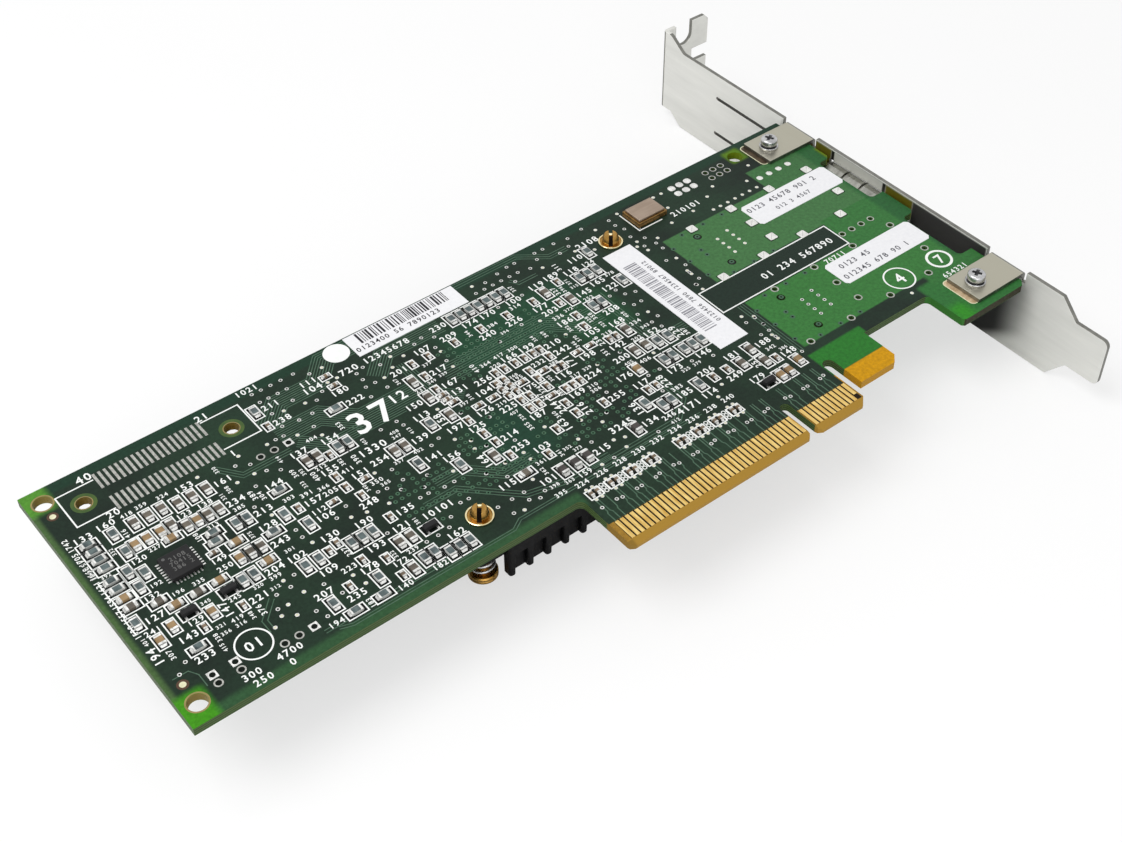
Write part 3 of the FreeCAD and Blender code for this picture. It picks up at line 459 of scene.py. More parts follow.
print("joints", len(parts_of("cage_solder_joints")), "resistors", len(parts_of("chip_resistors")))

# %% Patterns of the chip parts
SOLDER_REACH = 0.28
QUARTER = math.pi / 2


def pattern(build):
    """A small mesh that gets stamped many times."""
    bm = bmesh.new()
    build(bm)
    mesh = bpy.data.meshes.new("pattern")
    bm.to_mesh(mesh)
    bm.free()
    return mesh


def stamp(bm, mesh, x, y, height=0.0, turn=0.0, size=1.0):
    """One copy of a pattern at a place on the board."""
    copy = mesh.copy()
    place = Matrix.Translation((x, y, height)) @ Matrix.Rotation(turn, 4, "Z")
    copy.transform(place @ Matrix.Scale(size, 4))
    bm.from_mesh(copy)
    bpy.data.meshes.remove(copy)


def chip_pattern(length, width, tall, cap, glass):
    """A chip part along X, standing on the board at the origin: 0 body, 1 tinned end, 2 top glass."""
    def build(bm):
        half, side = length / 2, width / 2
        slab(bm, (-half + cap, -side * 0.96, 0.03), (half - cap, side * 0.96, tall * 0.95), 0)
        if glass:
            reach = half - cap * 0.85
            slab(bm, (-reach, -side * 0.84, tall * 0.95), (reach, side * 0.84, tall), 2)
        for end in (-1, 1):
            near, far = sorted((end * (half - cap), end * half))
            slab(bm, (near, -side, 0.02), (far, side, tall * 0.99), 1)
            near, far = sorted((end * half, end * (half + SOLDER_REACH)))
            foot = slab(bm, (near, -side * 0.92, 0.01), (far, side * 0.92, tall * 0.6), 1)
            for vert in foot:
                if abs(vert.co.x) > half + 0.1:
                    vert.co.z = min(vert.co.z, 0.05)
                    vert.co.y *= 0.8
    return pattern(build)


print("solder reaches", SOLDER_REACH, "mm past each end")

# %% Finishes of the chip parts
resistor_body = finish("resistor_ceramic", (168, 170, 168), (196, 198, 194), (0.5, 0.7), scale=900)
resistor_glass = finish("resistor_glass", (50, 60, 62), (98, 112, 112), (0.3, 0.5), scale=700, gloss=0.3)
grey_ceramic = finish("grey_ceramic", (66, 60, 52), (104, 96, 84), (0.4, 0.6), scale=600, relief=0.00002)
brown_ceramic = finish("brown_ceramic", (92, 78, 62), (130, 112, 90), (0.4, 0.6), scale=600, relief=0.00002)
tan_ceramic = finish("tan_ceramic", (120, 96, 62), (158, 130, 90), (0.4, 0.6), scale=600, relief=0.00002)
ferrite = finish("ferrite", (40, 37, 35), (66, 60, 56), (0.5, 0.7), scale=700, relief=0.00002)
moulding = finish("black_moulding", (17, 17, 18), (30, 30, 31), (0.5, 0.7), scale=900, relief=0.00003,
                  gloss=0.25)
print("finishes", len(bpy.data.materials))

# %% Chip parts in place
chip_groups = (
    ("chip_resistors", resistor_body, resistor_glass, 0.40, True, "resistor_ceramic"),
    ("large_chip_capacitors", grey_ceramic, grey_ceramic, 0.45, False, "grey_ceramic"),
    ("tan_chip_capacitors", tan_ceramic, tan_ceramic, 0.42, False, "tan_ceramic"),
    ("small_chip_capacitors", brown_ceramic, brown_ceramic, 0.27, False, "grey_ceramic"),
    ("coupling_capacitors", brown_ceramic, brown_ceramic, 0.27, False, "grey_ceramic"),
    ("filter_beads", ferrite, ferrite, 0.42, False, "ferrite"),
    ("component_side_chip_parts", grey_ceramic, grey_ceramic, 0.45, False, "grey_ceramic"),
)
for node, body, glass, cap, has_glass, slot in chip_groups:
    bm = bmesh.new()
    patterns = {}
    for low, high in parts_of(node):
        size = [b - a for a, b in zip(low, high)]
        length, width = max(size[:2]), min(size[:2])
        key = (round(length, 2), round(width, 2))
        if key not in patterns:
            patterns[key] = chip_pattern(length, width, size[2], cap, has_glass)
        x, y = middle_of(low, high)
        turn = QUARTER if size[1] > size[0] else 0.0
        if low[2] < REAR:
            copy = patterns[key].copy()
            place = Matrix.Translation((x, y, REAR)) @ Matrix.Rotation(turn, 4, "Z")
            copy.transform(place @ Matrix.Rotation(math.pi, 4, "X"))
            bm.from_mesh(copy)
            bpy.data.meshes.remove(copy)
        else:
            stamp(bm, patterns[key], x, y, FACE, turn)
    piece(node + "_dressed", bm, [body, tin, glass], slot, [node])

# %% [markdown]
# ## Three-legged transistors and the power controller
#
# These are moulded black plastic with tinned legs. A moulding never has a knife edge, so the body is a box
# whose edges are bevelled. Of each leg only the flat foot shows from above, so a thin strip stands for it.

# %% Small transistors
LEG_INSET = 0.55
LEG_HALF = 0.2


def bevel(bm, geom, width, segments, affect="EDGES", clamp=False):
    """A round bevel that keeps the finishes of the faces beside it."""
    bmesh.ops.bevel(bm, geom=geom, offset=width, segments=segments, profile=0.5, affect=affect, material=-1,
                    clamp_overlap=clamp)


def soften(bm, width, segments=2, angle=30):
    """Rounds every sharp edge a little, as on pressed and moulded parts."""
    limit = math.radians(angle)
    edges = [e for e in bm.edges if len(e.link_faces) == 2 and e.calc_face_angle(0) > limit]
    bevel(bm, edges, width, segments, clamp=True)


transistors = parts_of("small_transistors")
bm = bmesh.new()
for low, high in transistors:
    slab(bm, (low[0] + 0.25, low[1] + 0.12, 0.1), (high[0] - 0.25, high[1] - 0.12, high[2]), 0)
soften(bm, 0.1, 1)
for low, high in transistors:
    middle_x, _ = middle_of(low, high)
    for x, y, away in ((low[0] + LEG_INSET, low[1], -1), (high[0] - LEG_INSET, low[1], -1),
                       (middle_x, high[1], 1)):
        near, far = sorted((y - away * 0.2, y + away * 0.55))
        slab(bm, (x - LEG_HALF, near, 0.02), (x + LEG_HALF, far, 0.16), 1)
piece("small_transistors_dressed", bm, [moulding, tin], "chip_plastic", ["small_transistors"])

# %% Power controller
PADS = 8
PAD_PITCH = 0.6
PAD_HALF = 0.13


def ring(bm, x, y, height, outer, inner, sides, mark=0, middle=None):
    """A flat ring; its middle is left open, or filled with another finish."""
    disc = bmesh.ops.create_circle(bm, cap_ends=True, segments=sides, radius=outer,
                                   matrix=Matrix.Translation((x, y, height)))
    face = disc["verts"][0].link_faces[0]
    band = bmesh.ops.inset_region(bm, faces=[face], thickness=outer - inner, use_even_offset=True,
                                  use_boundary=True)["faces"]
    for f in band:
        f.material_index = mark
    if middle is None:
        bmesh.ops.delete(bm, geom=[face], context="FACES")
    else:
        face.material_index = middle


low, high = parts_of("power_controller")[0]
x, y = middle_of(low, high)
bm = bmesh.new()
slab(bm, low, high, 0)
soften(bm, 0.12, 2)
for i in range(PADS):
    at = (i - (PADS - 1) / 2) * PAD_PITCH
    for side in (-1, 1):
        edge = side * (high[0] - low[0]) / 2
        near, far = sorted((edge - side * 0.05, edge + side * 0.62))
        slab(bm, (x + near, y + at - PAD_HALF, 0.01), (x + far, y + at + PAD_HALF, 0.1), 1)
        slab(bm, (x + at - PAD_HALF, y + near, 0.01), (x + at + PAD_HALF, y + far, 0.1), 1)
ring(bm, low[0] + 0.75, high[1] - 0.75, high[2] + 0.004, 0.28, 0.2, 12, 2, 2)
mould_mark = finish("moulded_mark", (74, 74, 74), (92, 92, 90), (0.5, 0.6), scale=900)
piece("power_controller_dressed", bm, [moulding, tin, mould_mark], "chip_plastic", ["power_controller"])

# %% [markdown]
# ## Keeping marks off the parts
#
# The white print is a thin layer of ink, and the pads and rings are tinned copper. All of it is nearly flat,
# so it is modelled as flat faces a hundredth of a millimetre above the lacquer. On the real card nothing is
# printed under a part. To keep to that, a set of small cells remembers which spots of the board are taken,
# and a mark is only set where its cells are free. Each chip part also gets a frame, which takes its cells.

# %% Which spots are taken
CELL = 0.25
MARGIN = 0.4
taken = set()


def cells(left, low, right, high):
    """The cells that a rectangle touches."""
    return [(i, j) for i in range(math.floor(left / CELL), math.ceil(right / CELL))
            for j in range(math.floor(low / CELL), math.ceil(high / CELL))]


def take(left, low, right, high):
    """Marks a rectangle as taken."""
    taken.update(cells(left, low, right, high))


def is_free(left, low, right, high):
    """Is nothing of a rectangle taken yet?"""
    return not any(cell in taken for cell in cells(left, low, right, high))


def around(x, y, reach):
    """The square round a point."""
    return x - reach, y - reach, x + reach, y + reach


def frame_of(low, high, long_gap, wide_gap):
    """The frame round a chip part, with one gap at its ends and another at its sides."""
    upright = high[1] - low[1] > high[0] - low[0]
    gap_x, gap_y = (wide_gap, long_gap) if upright else (long_gap, wide_gap)
    return low[0] - gap_x, low[1] - gap_y, high[0] + gap_x, high[1] + gap_y


for name in ("label_upper_edge", "label_tall", "label_upper_port", "label_lower_port", "power_controller",
             "oscillator_base", "small_transistors", "push_pins"):
    for low, high in parts_of(name):
        take(low[0] - MARGIN, low[1] - MARGIN, high[0] + MARGIN, high[1] + MARGIN)
for area in ((-106.5, 56.2, -70.8, 67.6), (-98.7, 17.2, -92.3, 23.4), (-105, 16.4, -85.6, 20.2),
             (-111, 63, -104.5, 69), (-111, 12, -104.5, 20.5), (8, 31.6, 57, 39), (13, 16, 57, 62),
             (24, 61, 57, 69), (40, 3, 57, 16), (-75.8, 51.6, -68.4, 54.0), (-100.0, 36.6, -92.8, 44.4),
             (8.6, 31.5, 40.4, 39.0)):
    take(*area)
frames = []
for node, gaps in (("chip_resistors", (0.75, 0.32)), ("large_chip_capacitors", (0.75, 0.32)),
                   ("tan_chip_capacitors", (0.62, 0.3)), ("small_chip_capacitors", (0.5, 0.38)),
                   ("filter_beads", (0.7, 0.32)), ("small_transistors", (0.2, 0.5))):
    frames += [frame_of(low, high, *gaps) for low, high in parts_of(node)]
coupling = parts_of("coupling_capacitors")
for (low, _), (_, high) in zip(coupling[::2], coupling[1::2]):
    frames.append((low[0] - 0.35, low[1] - 0.45, high[0] + 0.35, high[1] + 0.45))
for area in frames:
    take(*area)
print("frames", len(frames), "cells taken", len(taken))

# %% [markdown]
# ## Numbers and strokes
#
# Print is set in plain digits here. Each digit is made once, as a flat shape with few faces, and is stamped
# wherever it is wanted. Strokes are thin rectangles; where two of them cross, one lies a hair higher, because
# faces in the same plane would hide each other.

# %% Numbers as patterns
INK = 0.016
HAIR = 0.0002
DIGIT_STEP = 0.86
digits = {}
for digit in "0123456789":
    curve = bpy.data.curves.new("digit", "FONT")
    curve.body = digit
    curve.size = 1.4
    curve.resolution_u = 2
    curve.offset = 0.022
    curve.align_x = "CENTER"
    letter = bpy.data.objects.new("digit", curve)
    scene.collection.objects.link(letter)
    bpy.context.view_layer.update()
    shape = letter.evaluated_get(bpy.context.evaluated_depsgraph_get())
    digits[digit] = bpy.data.meshes.new_from_object(shape)
    digits[digit].materials.clear()
    bpy.data.objects.remove(letter)


def number(bm, text, x, y, tall, upright=False, height=INK):
    """Writes a number with its middle at a place; upright numbers read from below to above."""
    step = tall * DIGIT_STEP
    for place, digit in enumerate(text):
        along = (place - (len(text) - 1) / 2) * step
        if digit == " ":
            continue
        if upright:
            stamp(bm, digits[digit], x + tall / 2, y + along, height, QUARTER, tall)
        else:
            stamp(bm, digits[digit], x + along, y - tall / 2, height, 0.0, tall)


def line(bm, x0, y0, x1, y1, width, height=INK):
    """A straight stroke with square ends, from point to point."""
    run = math.hypot(x1 - x0, y1 - y0) + width
    place = Matrix.Translation(((x0 + x1) / 2, (y0 + y1) / 2, height))
    place = place @ Matrix.Rotation(math.atan2(y1 - y0, x1 - x0), 4, "Z")
    place = place @ Matrix.Diagonal((run, width, 1.0, 1.0))
    bmesh.ops.create_grid(bm, x_segments=1, y_segments=1, size=0.5, matrix=place)


def stroke(bm, points, width, height=INK):
    """A run of lines; every second one lies a hair higher, so that no two faces share a spot."""
    for place, ((x0, y0), (x1, y1)) in enumerate(zip(points, points[1:])):
        line(bm, x0, y0, x1, y1, width, height + HAIR * (place % 2))


def frame_line(bm, left, low, right, high, width):
    """A closed rectangle of strokes."""
    stroke(bm, ((left, low), (right, low), (right, high), (left, high), (left, low)), width)


print("digit faces", sum(len(d.polygons) for d in digits.values()))

# %% Marks on the power controller
low, high = parts_of("power_controller")[0]
x, _ = middle_of(low, high)
bm = bmesh.new()
for row, text in enumerate(("2108", "70415", "386 2")):
    number(bm, text, x + 0.2, high[1] - 1.4 - row * 1.05, 0.85, height=high[2] + 0.004)
piece("power_controller_marks", bm, [mould_mark], "chip_plastic")

# %% [markdown]
# ## Shade under the parts
#
# Between a part and its neighbours the lacquer lies in shade and looks nearly black. Lamps alone give little
# of that on parts so small, so each frame is filled with a thin patch of painted shade: lacquer coloured
# darker. The patches overlap, so their heights differ by a hair.

# %% Painted shade under the parts


def patch(bm, left, low, right, high, height, mark=0):
    """A flat rectangle that faces up."""
    place = Matrix.Translation(((left + right) / 2, (low + high) / 2, height))
    place = place @ Matrix.Diagonal((right - left, high - low, 1.0, 1.0))
    verts = bmesh.ops.create_grid(bm, x_segments=1, y_segments=1, size=0.5, matrix=place)["verts"]
    verts[0].link_faces[0].material_index = mark
    return verts


# painted shade under and beside the parts
painted_shade_mask = finish("painted_shade_lacquer", (9, 14, 11), (15, 22, 18), (0.45, 0.6), scale=900, gloss=0.08)
bm = bmesh.new()
for place, (left, low, right, high) in enumerate(frames):
    patch(bm, left, low, right, high, 0.0105 + 0.0003 * (place % 15))
piece("painted_shade_lacquer", bm, [painted_shade_mask], "board_laminate")

# %% [markdown]
# ## White print
#
# The print on the real card names every part. Here each frame gets a running number at the first free place
# around it, and the larger marks get plain numbers at their own places. The crowded corners have even more
# small print, so seeded tries fill them until the cells are full. One mesh holds all of it.

# %% Frames and fixed numbers
PEN = 0.23
THIN_PEN = 0.14
COUPLING_PITCH = 3.95


def text_spot(long, x, y, tall, upright, half_high=0.58):
    """The rectangle that a number of so many digits covers."""
    along, across = long * tall * DIGIT_STEP / 2, tall * half_high
    reach_x, reach_y = (across, along) if upright else (along, across)
    return x - reach_x, y - reach_y, x + reach_x, y + reach_y


white = bmesh.new()
for area in frames:
    frame_line(white, *area, PEN)
fixed_numbers = (
    ("300", -98.6, 15.7, 1.3), ("4700", -92.1, 15.9, 1.3), ("250", -97.7, 13.9, 1.3), ("0", -92.7, 14.0, 1.3),
    ("01", -95.5, 20.3, 1.9), ("194", -108.0, 27.2, 1.5), ("01 234 567890", 29.4, 34.9, 1.6),
    ("210101", 23.4, 59.2, 1.4), ("70711", 35.0, 30.7, 1.2), ("654321", 49.4, 14.3, 1.2),
    ("4", 39.8, 19.0, 2.6), ("7", 49.6, 18.3, 2.3), ("37", -55.4, 49.4, 5.2), ("12", -49.3, 50.6, 2.2),
    ("1021", -68.5, 67.9, 1.3), ("104", -59.4, 61.3, 1.5), ("720", -52.0, 61.4, 1.5),
    ("12345678", -44.2, 61.4, 1.4), ("1330", -59.4, 43.0, 1.6), ("10101", -58.9, 25.2, 1.4),
    ("2108", 2.0, 62.8, 1.5), ("3245", -24.2, 21.5, 1.5), ("4171", -12.4, 17.9, 1.5))
for text, x, y, tall in fixed_numbers:
    upright = text == "194"
    number(white, text, x, y, tall, upright)
    take(*text_spot(len(text), x, y, tall, upright))
for place in range(7):
    number(white, str(1520 + 37 * place), -108.2, 33.2 + 3.6 * place, 0.95, True)
pairs = list(zip(coupling[::2], coupling[1::2]))
for (first, second), (third, _) in zip(pairs, pairs[1:]):
    x, low, high = (second[1][0] + third[0][0]) / 2, first[0][1], first[1][1]
    if third[0][0] - second[1][0] < 3.2:
        for y in (low - 0.2, (low + high) / 2, high + 0.2):
            ring(white, x, y, INK, 0.42, 0.27, 10)
        for side in (-0.55, 0.55):
            stroke(white, ((x + side, low - 0.3), (x + side, high + 0.3)), THIN_PEN)
for place in range(9):
    x = COUPLING_PITCH * place
    number(white, str(224 + 2 * place), -37.6 + x, 15.3, 1.05)
    take(-39.4 + x, 14.7, -35.8 + x, 15.9)
bmesh.ops.create_circle(white, cap_ends=True, segments=40, radius=2.4,
                        matrix=Matrix.Translation((-51.3, 66.3, INK)))
take(-54.0, 63.6, -48.6, 69.0)
print("fixed numbers", len(fixed_numbers))

# %% Running numbers beside the frames
TEXT_GAP = 0.3


def fits(area, top):
    """Is a number's place within the printed field, and free?"""
    left, low, right, high = area
    return left > -108.6 and low > 14.6 and right < 13 and high < top and is_free(*area)


def places_beside(area, long):
    """Places for a number round a frame, the best first: x, y, height and direction."""
    left, low, right, high = area
    x, y = (left + right) / 2, (low + high) / 2
    for tall in (1.35, 1.1, 0.85):
        away, half = tall * 0.7, long * tall * DIGIT_STEP / 2
        for shift in (0, -0.8, 0.8):
            yield x + shift, high + away, tall, False
            yield x + shift, low - away, tall, False
            yield right + TEXT_GAP + half, y + shift, tall, False
            yield left - TEXT_GAP - half, y + shift, tall, False
            yield right + away, y + shift, tall, True
            yield left - away, y + shift, tall, True


count = 0
for area in sorted(frames, key=lambda f: rng.random()):
    text = str(100 + count)
    for x, y, tall, upright in places_beside(area, len(text)):
        text_area = text_spot(len(text), x, y, tall, upright)
        if fits(text_area, 66.8):
            number(white, text, x, y, tall, upright)
            take(*text_area)
            count += 1
            break
print("running numbers", count)

# %% Places of the clearest vias
via_rows = (
    (61.0, (-94.2, -92, -90, -87, -85.3)), (67.0, (-90, -86, -76.2, -74.4, -70)),
    (56.7, (-103, -101.2, -68.2, -46.3, -44.5, -37)), (57.3, (-75.4, -73.6)),
    (56.2, (-83, -77, -71.6, -65.2, -62.6)), (54.7, (-70.7, -56)), (53.6, (-79, -53, -49.2)),
    (52.4, (-76.9,)), (26.2, (-88, -85.5)), (23.7, (-105, -89.3)), (22.2, (-106.8,)), (21.7, (-92.4,)),
    (19.8, (-85,)), (17.9, (-84.2,)), (66.5, (-68.2, -66.4, -64.5, -62.5, -60, -14, -12.2, -7.5, -5.6, -3)),
    (64.0, (-68.1, -66.4, -64.6, -62.8, -61, -22.8, -20.9, -19, -17.1, -15.2, -13.3)), (62.3, (-54,)),
    (60.4, (-54, -52.3, -49.7)),
    (58.4, (-22, -20.2, -18.4, -16.6, -14.8, -13, -11.2, -9.4, -7.6, -5.8, -4, -2.2)), (46.2, (-59.2,)),
    (44.3, (-52.3,)), (43.0, (-59.5, -57.2)), (43.7, (-2.6, -0.9, 0.8)), (39.0, (-59.6,)), (37.0, (-59.6,)),
    (34.0, (-65.7, -62.6, -59.5)), (29.0, (-59.6, -58)), (28.5, (-55.2, -53.3, -51.5, -49.3, -47.4)),
    (24.0, (-53.7, -46)), (22.6, (-58.2,)), (20.7, (-64.2, -62)), (19.6, (-51.2, -48.4, -46)),
    (17.0, (-50, -44.7)), (55.3, (8.7, 9.8, 13.3)), (44.3, (11.2,)), (41.0, (9.8,)), (27.5, (9.7, 11.8)),
    (25.3, (11.8,)), (21.6, (11.2,)))
via_spots = []
for y, xs in via_rows:
    for x in xs:
        if is_free(*around(x, y, 0.3)):
            via_spots.append((x, y))
            take(*around(x, y, 0.7))
print("clearest vias", len(via_spots))

# %% Small numbers in the crowded corners
SMALL_NUMBERS = 170
TRIES = 9000
crowded = [f for f in sorted(frames) if f[0] < -84 or -38 < f[0] < -10 and 30 < f[1] < 52]
crowded += sorted(frames)[::4]
small = 0
for _ in range(TRIES):
    left, low, right, high = rng.choice(crowded)
    tall = rng.choice((0.95, 0.85, 0.75, 0.7))
    upright = rng.random() < 0.5
    x = rng.uniform(left - 2.4, right + 2.4)
    y = rng.uniform(low - 2.4, high + 2.4)
    left, low, right, high = text_spot(3, x, y, tall, upright, 0.5)
    if fits((left, low, right, high), 66.6):
        number(white, str(300 + small), x, y, tall, upright)
        take(left - 0.1, low - 0.1, right + 0.1, high + 0.1)
        small += 1
    if small == SMALL_NUMBERS:
        break
print("small numbers", small)

# %% Outlines of empty places
WIDE_PEN = 0.26
stroke(white, ((-98.6, 65.3), (-105.2, 65.3), (-105.2, 57.5), (-98.6, 57.5)), WIDE_PEN)
stroke(white, ((-78.4, 65.9), (-71.4, 65.9), (-71.4, 58.0), (-78.4, 58.0)), WIDE_PEN)
for text, x, y, tall in (("40", -99.6, 66.6, 1.7), ("21", -77.7, 67.0, 1.5), ("20", -99.4, 56.7, 1.4),
                         ("1", -77.8, 56.4, 1.4)):
    number(white, text, x, y, tall)
frame_line(white, 8.4, 32.0, 40.0, 38.6, WIDE_PEN)
stroke(white, ((12.1, 65.2), (12.1, 59.4), (17.6, 59.4)), WIDE_PEN)
stroke(white, ((12.6, 64.6), (12.6, 59.9)), 0.2)
ring(white, -95.5, 20.3, INK, 3.0, 2.72, 40)
ring(white, 39.8, 19.0, INK, 3.05, 2.75, 40)
ring(white, 49.6, 18.3, INK, 2.55, 2.05, 36)
piece("white_print", white, [ink], "board_laminate")

# %% [markdown]
# ## Vias, rings and pads
#
# A via is a plated hole that joins two copper layers. A bare one shows a tinned ring, one that is covered by
# lacquer shows only a green dimple, and one that is closed shows a pale dot. They lie on a grid of 1.27 mm or
# its half, as board designers set them, so seeded tries are rounded to that grid.

# %% Via and hole patterns
RING = 0.010
via = pattern(lambda b: ring(b, 0, 0, 0, 0.36, 0.2, 10, 0, 1))
tented = pattern(lambda b: ring(b, 0, 0, 0, 0.40, 0.18, 8, 2, 1))
filled = pattern(lambda b: ring(b, 0, 0, 0, 0.36, 0.2, 10, 0, 5))
hole_rim = pattern(lambda b: ring(b, 0, 0, 0, 0.80, 0.56, 14, 3))
wide_rim = pattern(lambda b: ring(b, 0, 0, 0, 0.72, 0.52, 14, 3))
blind_hole = pattern(lambda b: ring(b, 0, 0, 0, 0.76, 0.52, 14, 3, 1))
print("faces of a via", len(via.polygons), "of a rim", len(hole_rim.polygons))

# %% Vias on the grid
GRID = 1.27
HALF_GRID = 0.635
rings = bmesh.new()
for x, y in via_spots:
    stamp(rings, via, x, y, RING, rng.random())
for column in range(42):
    for row in range(30):
        x, y = -63.2 + column * GRID, 18.0 + row * GRID
        in_grid = x > -43 and y > 24 or 22 < y < 36
        if in_grid and is_free(*around(x, y, 0.35)) and rng.random() < 0.8:
            stamp(rings, tented, x, y, RING)
            if rng.random() < 0.5:
                take(*around(x, y, 0.3))
for _ in range(2600):
    x = round(rng.uniform(-107.0, 12.5) / HALF_GRID) * HALF_GRID
    y = round(rng.uniform(15.8, 66.4) / HALF_GRID) * HALF_GRID
    if is_free(*around(x, y, 0.5)):
        stamp(rings, filled if rng.random() < 0.35 else via, x, y, RING, rng.random())
        via_spots.append((x, y))
        take(*around(x, y, 0.9))
print("vias", len(via_spots))

# %% Vias at the contacts and the ports
PORT_SPACING = 22.5
PORT_TOP = 60
FIRST_CONTACT = 1.5
SHORT_ROW = 11
contact_xs = [FIRST_CONTACT + place if place < SHORT_ROW else -(FIRST_CONTACT + place - SHORT_ROW)
              for place in range(49)]
for low, high in coupling:
    for y in (low[1] - 0.75, high[1] + 0.75):
        stamp(rings, filled, middle_of(low, high)[0], y, RING + 0.008, 0, 0.95)
for place, x in enumerate(contact_xs):
    if place % 4 < 2:
        stamp(rings, via, x + 0.1, 8.95 + 0.25 * (place % 3 == 0), RING)
for x, ys in ((21.8, (48.3, 46.7, 45.1, 43.5)), (24.95, (49.1, 47.4, 45.8, 44.2))):
    for y in ys:
        stamp(rings, filled, x, y, RING)
        stamp(rings, via, x, y - PORT_SPACING, RING)
for x, y in ((27.3, 55.5), (29.1, 55.5), (31.0, 55.5), (32.9, 55.5), (34.8, 55.5), (36.7, 55.5), (38.6, 55.5),
             (13.3, 55.6), (20.8, 65.6), (22.8, 65.6), (32.1, 61.1), (20.9, 61.4), (24.0, 57.6), (29.1, 59.3),
             (38.5, 58.2), (11.2, 44.9), (11.2, 43.7), (9.9, 40.8), (9.9, 39.2), (8.6, 56.0), (11.0, 22.3),
             (11.2, 21.0), (38.5, 14.7), (42.2, 61.8), (18.4, 57.4), (11.9, 27.9), (11.8, 25.4)):
    stamp(rings, filled, x, y, RING)
for x, y in ((17.4, 53.4), (22.7, 53.4), (27.5, 53.4), (19.3, 51.2), (19.3, 41.7), (17.6, 39.2), (22.6, 39.2),
             (27.5, 39.2), (13.4, 51.2), (13.4, 46.6), (13.4, 41.6), (17.2, 47.8), (17.2, 46.1), (17.4, 30.9),
             (22.7, 30.9), (27.5, 30.9), (19.4, 28.7), (19.4, 19.2), (17.6, 16.9), (22.6, 16.9), (27.5, 16.9),
             (13.4, 28.6), (13.4, 23.9), (13.4, 19.0), (17.2, 25.2), (17.2, 23.5)):
    stamp(rings, tented, x, y, RING, 0, 1.3)
print("faces so far", len(rings.faces))

# %% Rims and pads
for x, y in ((-74.7, 52.8), (-72.1, 52.8), (-103.1, 17.4), (-99.3, 17.4), (-91.9, 17.5), (-89.4, 17.5)):
    stamp(rings, blind_hole, x, y, RING)
for x, y in ((-69.4, 52.8), (-103.1, 19.2), (-99.3, 19.2), (-86.8, 17.5)):
    patch(rings, *around(x, y, 0.75), RING, 0)
    ring(rings, x, y, RING + 0.002, 0.5, 0.3, 12, 1, 1)
for x in range(-98, -78):
    patch(rings, x - 0.24, 62.7, x + 0.24, 66.5, RING, 3)
    patch(rings, x - 0.24, 56.9, x + 0.24, 60.4, RING, 3)
cage_places = [middle_of(*box) for box in parts_of("cage_solder_joints")]
for x, y in cage_places:
    stamp(rings, hole_rim, x, y - PORT_SPACING, RING)
    # a dark square round each cage joint: painted shade
    patch(rings, *around(x, y, 1.06), RING - 0.004, 8)
lead_places = [middle_of(*box) for box in parts_of("lead_solder_joints")]
port_leads = [spot for spot in lead_places if spot[1] < PORT_TOP]
for x, y in lead_places:
    if y < PORT_TOP:
        stamp(rings, wide_rim, x, y - PORT_SPACING, RING)
    else:
        stamp(rings, wide_rim, x + 8.6, y - 0.2, RING)
for x in (-102.0, -75.0):
    ring(rings, x, 61.6, RING, 2.15, 1.5, 32, 4)
    ring(rings, x, 61.6, RING, 1.5, 1.32, 32, 6)
for y in (65.6, 16.3):
    ring(rings, -107.2, y, RING, 1.9, 1.62, 32, 6)
for x, y in ((-107.2, 62.0), (-107.3, 20.35)):
    ring(rings, x, y, RING, 0.95, 0.55, 20, 7, 5)
green_rim = finish("thin_mask", (48, 76, 28), (70, 94, 34), (0.3, 0.5), scale=500, gloss=0.3)
tent = finish("tented_copper", (46, 80, 58), (64, 102, 76), (0.35, 0.5), scale=900, gloss=0.3)
bare_laminate = finish("bare_laminate", (128, 112, 66), (156, 138, 88), (0.5, 0.65), scale=700, gloss=0.3)
clear_mask = finish("clear_mask", (66, 44, 30), (84, 58, 40), (0.35, 0.5), scale=700, gloss=0.3)
# painted shade for the rims round the cage joints
shade = finish("painted_shade_rim", (22, 46, 26), (34, 62, 36), (0.4, 0.5), scale=700, gloss=0.2)
ring_finishes = [tin, dark_hole, tent, bare_tin, green_rim, cream, bare_laminate, clear_mask, shade]
piece("rings_and_pads", rings, ring_finishes, "solder")

# %% [markdown]
# ## Traces
#
# Copper lines under the lacquer show as slightly raised, paler green threads. They run in parallel bundles
# that turn by half right angles. One function draws a bundle from its centre line, spreading copies sideways.

# %% Traces under the lacquer
TRACE = 0.004
trace_green = finish("lacquered_trace", (50, 80, 62), (78, 108, 86), (0.3, 0.45), scale=700, gloss=0.3)
threads = bmesh.new()


def bundle(points, count, pitch, width=0.16, height=TRACE):
    """Parallel traces along one line; each corner keeps the spacing."""
    last = len(points) - 1
    for i in range(count):
        offset = (i - (count - 1) / 2) * pitch
        moved = []
        for place, (x, y) in enumerate(points):
            ahead = points[min(place + 1, last)]
            behind = points[max(place - 1, 0)]
            back = Vector((x - behind[0], y - behind[1]))
            fore = Vector((ahead[0] - x, ahead[1] - y))
            turns = [Vector((-d.y, d.x)).normalized() for d in (back, fore) if d.length > 0]
            normal = sum(turns, Vector((0, 0)))
            normal = normal / normal.dot(turns[0]) if len(turns) > 1 else turns[0]
            moved.append((x + normal.x * offset, y + normal.y * offset))
        stroke(threads, moved, width, height)


